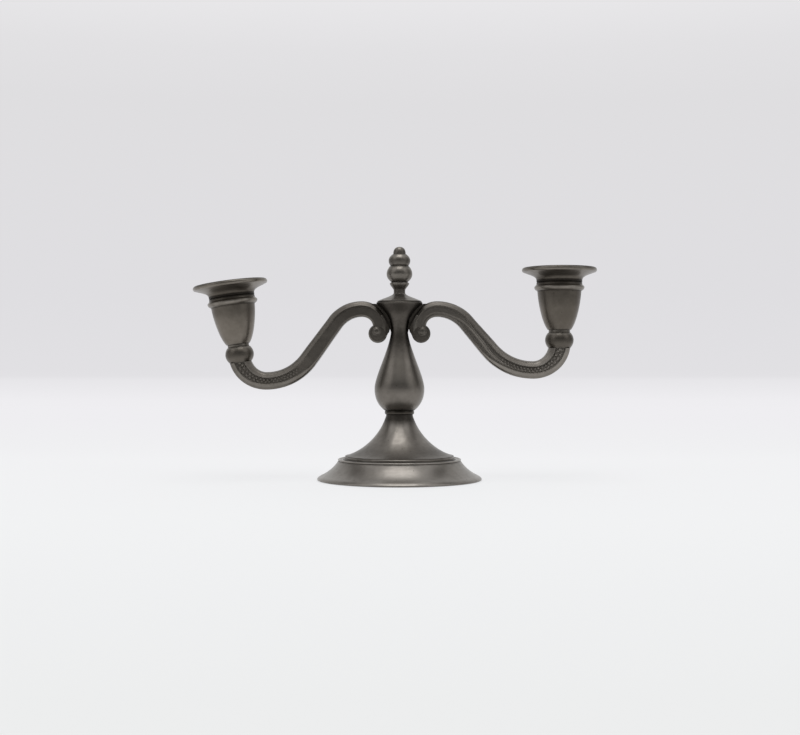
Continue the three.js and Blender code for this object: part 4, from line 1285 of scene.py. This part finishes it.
studio = {
    "floorTone": 0.84, "floorReach": 30.0, "floorShare": 0.33, "cameraAway": 0.735,
    # the floor as (cameraAway / distance from the camera, tone), and the wall as (rise of the view, tone)
    "floorTones": [(0.02, (225, 224, 227)), (0.075, (226, 225, 228)), (0.111, (231, 230, 233)),
                   (0.289, (238, 237, 240)), (0.467, (240, 239, 242)), (0.822, (247, 247, 249)),
                   (1.356, (246, 247, 248)), (2.067, (242, 243, 244)), (2.955, (239, 240, 240))],
    "wallTones": [(0.0, (225, 224, 227)), (0.06, (223, 222, 225)), (0.21, (223, 222, 224)),
                  (0.25, (226, 225, 227)), (0.287, (232, 231, 233))],
    "lampSize": (1.25, 1.5), "lampDistance": 2.2, "lampHeightAngle": 80, "lampPower": 15.5,
    "lampColour": (0.985, 0.993, 1.0), "lampAim": (0, 0, 0.07),
    "roomWalls": [(0.0, 0.05), (0.22, 0.07), (0.3, 0.33), (0.4, 0.55), (0.48, 0.35), (0.6, 0.3),
                  (0.7, 0.62), (1.0, 0.86)],
    "ceiling": (0.78, 0.785, 0.79),
    "windowWay": (0.68, -0.4, 0.6), "windowWidth": (0.935, 0.985), "windowTone": (1.15, 1.16, 1.18),
}


def screenTone(tone):
    # a tone as the screen shows it, turned into the one that the light is worked out with
    return tuple(((c / 255 + 0.055) / 1.055) ** 2.4 for c in tone)


def screenTones(name):
    return [(place, screenTone(tone)) for place, tone in studio[name]]


def toneRamp(tree, value, tones, reach=1.0):
    made = node(tree, "ShaderNodeValToRGB", {"Fac": maths(tree, "DIVIDE", value, reach)})
    elements = made.color_ramp.elements
    while len(elements) < len(tones):
        elements.new(0.5)
    for element, (place, tone) in zip(elements, tones):
        element.position = place / reach
        element.color = (*tone, 1)
    return made.outputs["Color"]


def makeFloor():
    # what the lens sees is part lit floor, which carries the shadow, and part its even tone
    material, tree, shader = newMaterial("paleFloor")
    tone, size = studio["floorTone"], studio["floorReach"]
    plug(tree, shader, {"Base Color": (tone, tone, tone, 1), "Roughness": 0.9, "Specular IOR Level": 0.1})
    depth = node(tree, "ShaderNodeSeparateXYZ", {"Vector": placeOn(tree)}).outputs["Y"]
    away = maths(tree, "MAXIMUM", plus(tree, depth, studio["cameraAway"]), 0.1)
    near = maths(tree, "DIVIDE", studio["cameraAway"], away)
    glow = node(tree, "ShaderNodeEmission", {"Color": toneRamp(tree, near, screenTones("floorTones"), 3.0)})
    rays = node(tree, "ShaderNodeLightPath").outputs
    seen = maths(tree, "MAXIMUM", rays["Is Camera Ray"], rays["Is Glossy Ray"])
    lit = times(tree, span(tree, near, 0.35, 0.75), studio["floorShare"])
    share = times(tree, seen, minus(tree, 1.0, lit))
    both = node(tree, "ShaderNodeMixShader", {0: share, 1: shader.outputs[0], 2: glow.outputs[0]})
    plug(tree, tree.nodes["Material Output"], {"Surface": both.outputs[0]})
    corners = [(-size, -size, 0), (size, -size, 0), (size, size, 0), (-size, size, 0)]
    mesh = newMesh("floor", corners, [(0, 1, 2, 3)])
    mesh.materials.append(material)
    floor = addObject("floor", mesh)


def makeWorld():
    # the room that the metal reflects: dark behind the camera, light walls at the sides and at the back
    world = bpy.data.worlds.new("studioRoom")
    bpy.context.scene.world = world
    world.use_nodes = True
    tree = world.node_tree
    tree.nodes.clear()
    way = node(tree, "ShaderNodeTexCoord").outputs["Generated"]
    ways = node(tree, "ShaderNodeSeparateXYZ", {"Vector": way}).outputs
    turn = maths(tree, "ARCTAN2", ways["X"], times(tree, ways["Y"], -1.0))
    around = maths(tree, "DIVIDE", maths(tree, "ABSOLUTE", turn), math.pi)
    walls = toneRamp(tree, around, [(place, (tone,) * 3) for place, tone in studio["roomWalls"]])
    room = blendColours(tree, span(tree, ways["Z"], 0.35, 0.85), walls, (*studio["ceiling"], 1))
    sideways = maths(tree, "ABSOLUTE", ways["X"])
    folded = node(tree, "ShaderNodeCombineXYZ", {"X": sideways, "Y": ways["Y"], "Z": ways["Z"]}).outputs[0]
    aim = Vector(studio["windowWay"]).normalized()
    facing = node(tree, "ShaderNodeVectorMath", {0: folded, 1: aim}, operation="DOT_PRODUCT")
    window = span(tree, facing.outputs["Value"], *studio["windowWidth"])
    room = blendColours(tree, window, room, (*studio["windowTone"], 1))
    backdrop = toneRamp(tree, ways["Z"], screenTones("wallTones"))
    seen = node(tree, "ShaderNodeLightPath").outputs["Is Camera Ray"]
    shade = blendColours(tree, seen, room, backdrop)
    sky = node(tree, "ShaderNodeBackground", {"Color": shade, "Strength": 1.0})
    node(tree, "ShaderNodeOutputWorld", {"Surface": sky.outputs[0]})


def makeLamp():
    lamp = bpy.data.lights.new("overheadSoftLight", "AREA")
    lamp.shape = "RECTANGLE"
    lamp.size, lamp.size_y = studio["lampSize"]
    lamp.energy = studio["lampPower"]
    lamp.color = studio["lampColour"]
    piece = addObject("overheadSoftLight", lamp)
    angle = math.radians(studio["lampHeightAngle"])
    toward = Vector((0, -math.cos(angle), math.sin(angle)))
    piece.location = Vector(studio["lampAim"]) + toward * studio["lampDistance"]
    piece.rotation_mode = "QUATERNION"
    piece.rotation_quaternion = toward.to_track_quat("Z", "Y")


camera = {"lens": 55.125, "sensor": 36.0, "place": (0.00032, -0.735, 0.0675)}


def makeCamera():
    view = bpy.data.cameras.new("camera")
    view.sensor_fit = "HORIZONTAL"
    view.sensor_width = camera["sensor"]
    view.lens = camera["lens"]
    view.clip_start, view.clip_end = 0.01, 100
    piece = addObject("camera", view)
    piece.location = camera["place"]
    piece.rotation_euler = (math.radians(90), 0, 0)
    bpy.context.scene.camera = piece


makeFloor()
makeWorld()
makeLamp()
makeCamera()
bpy.context.scene.view_settings.view_transform = "Standard"
print("studio ready")
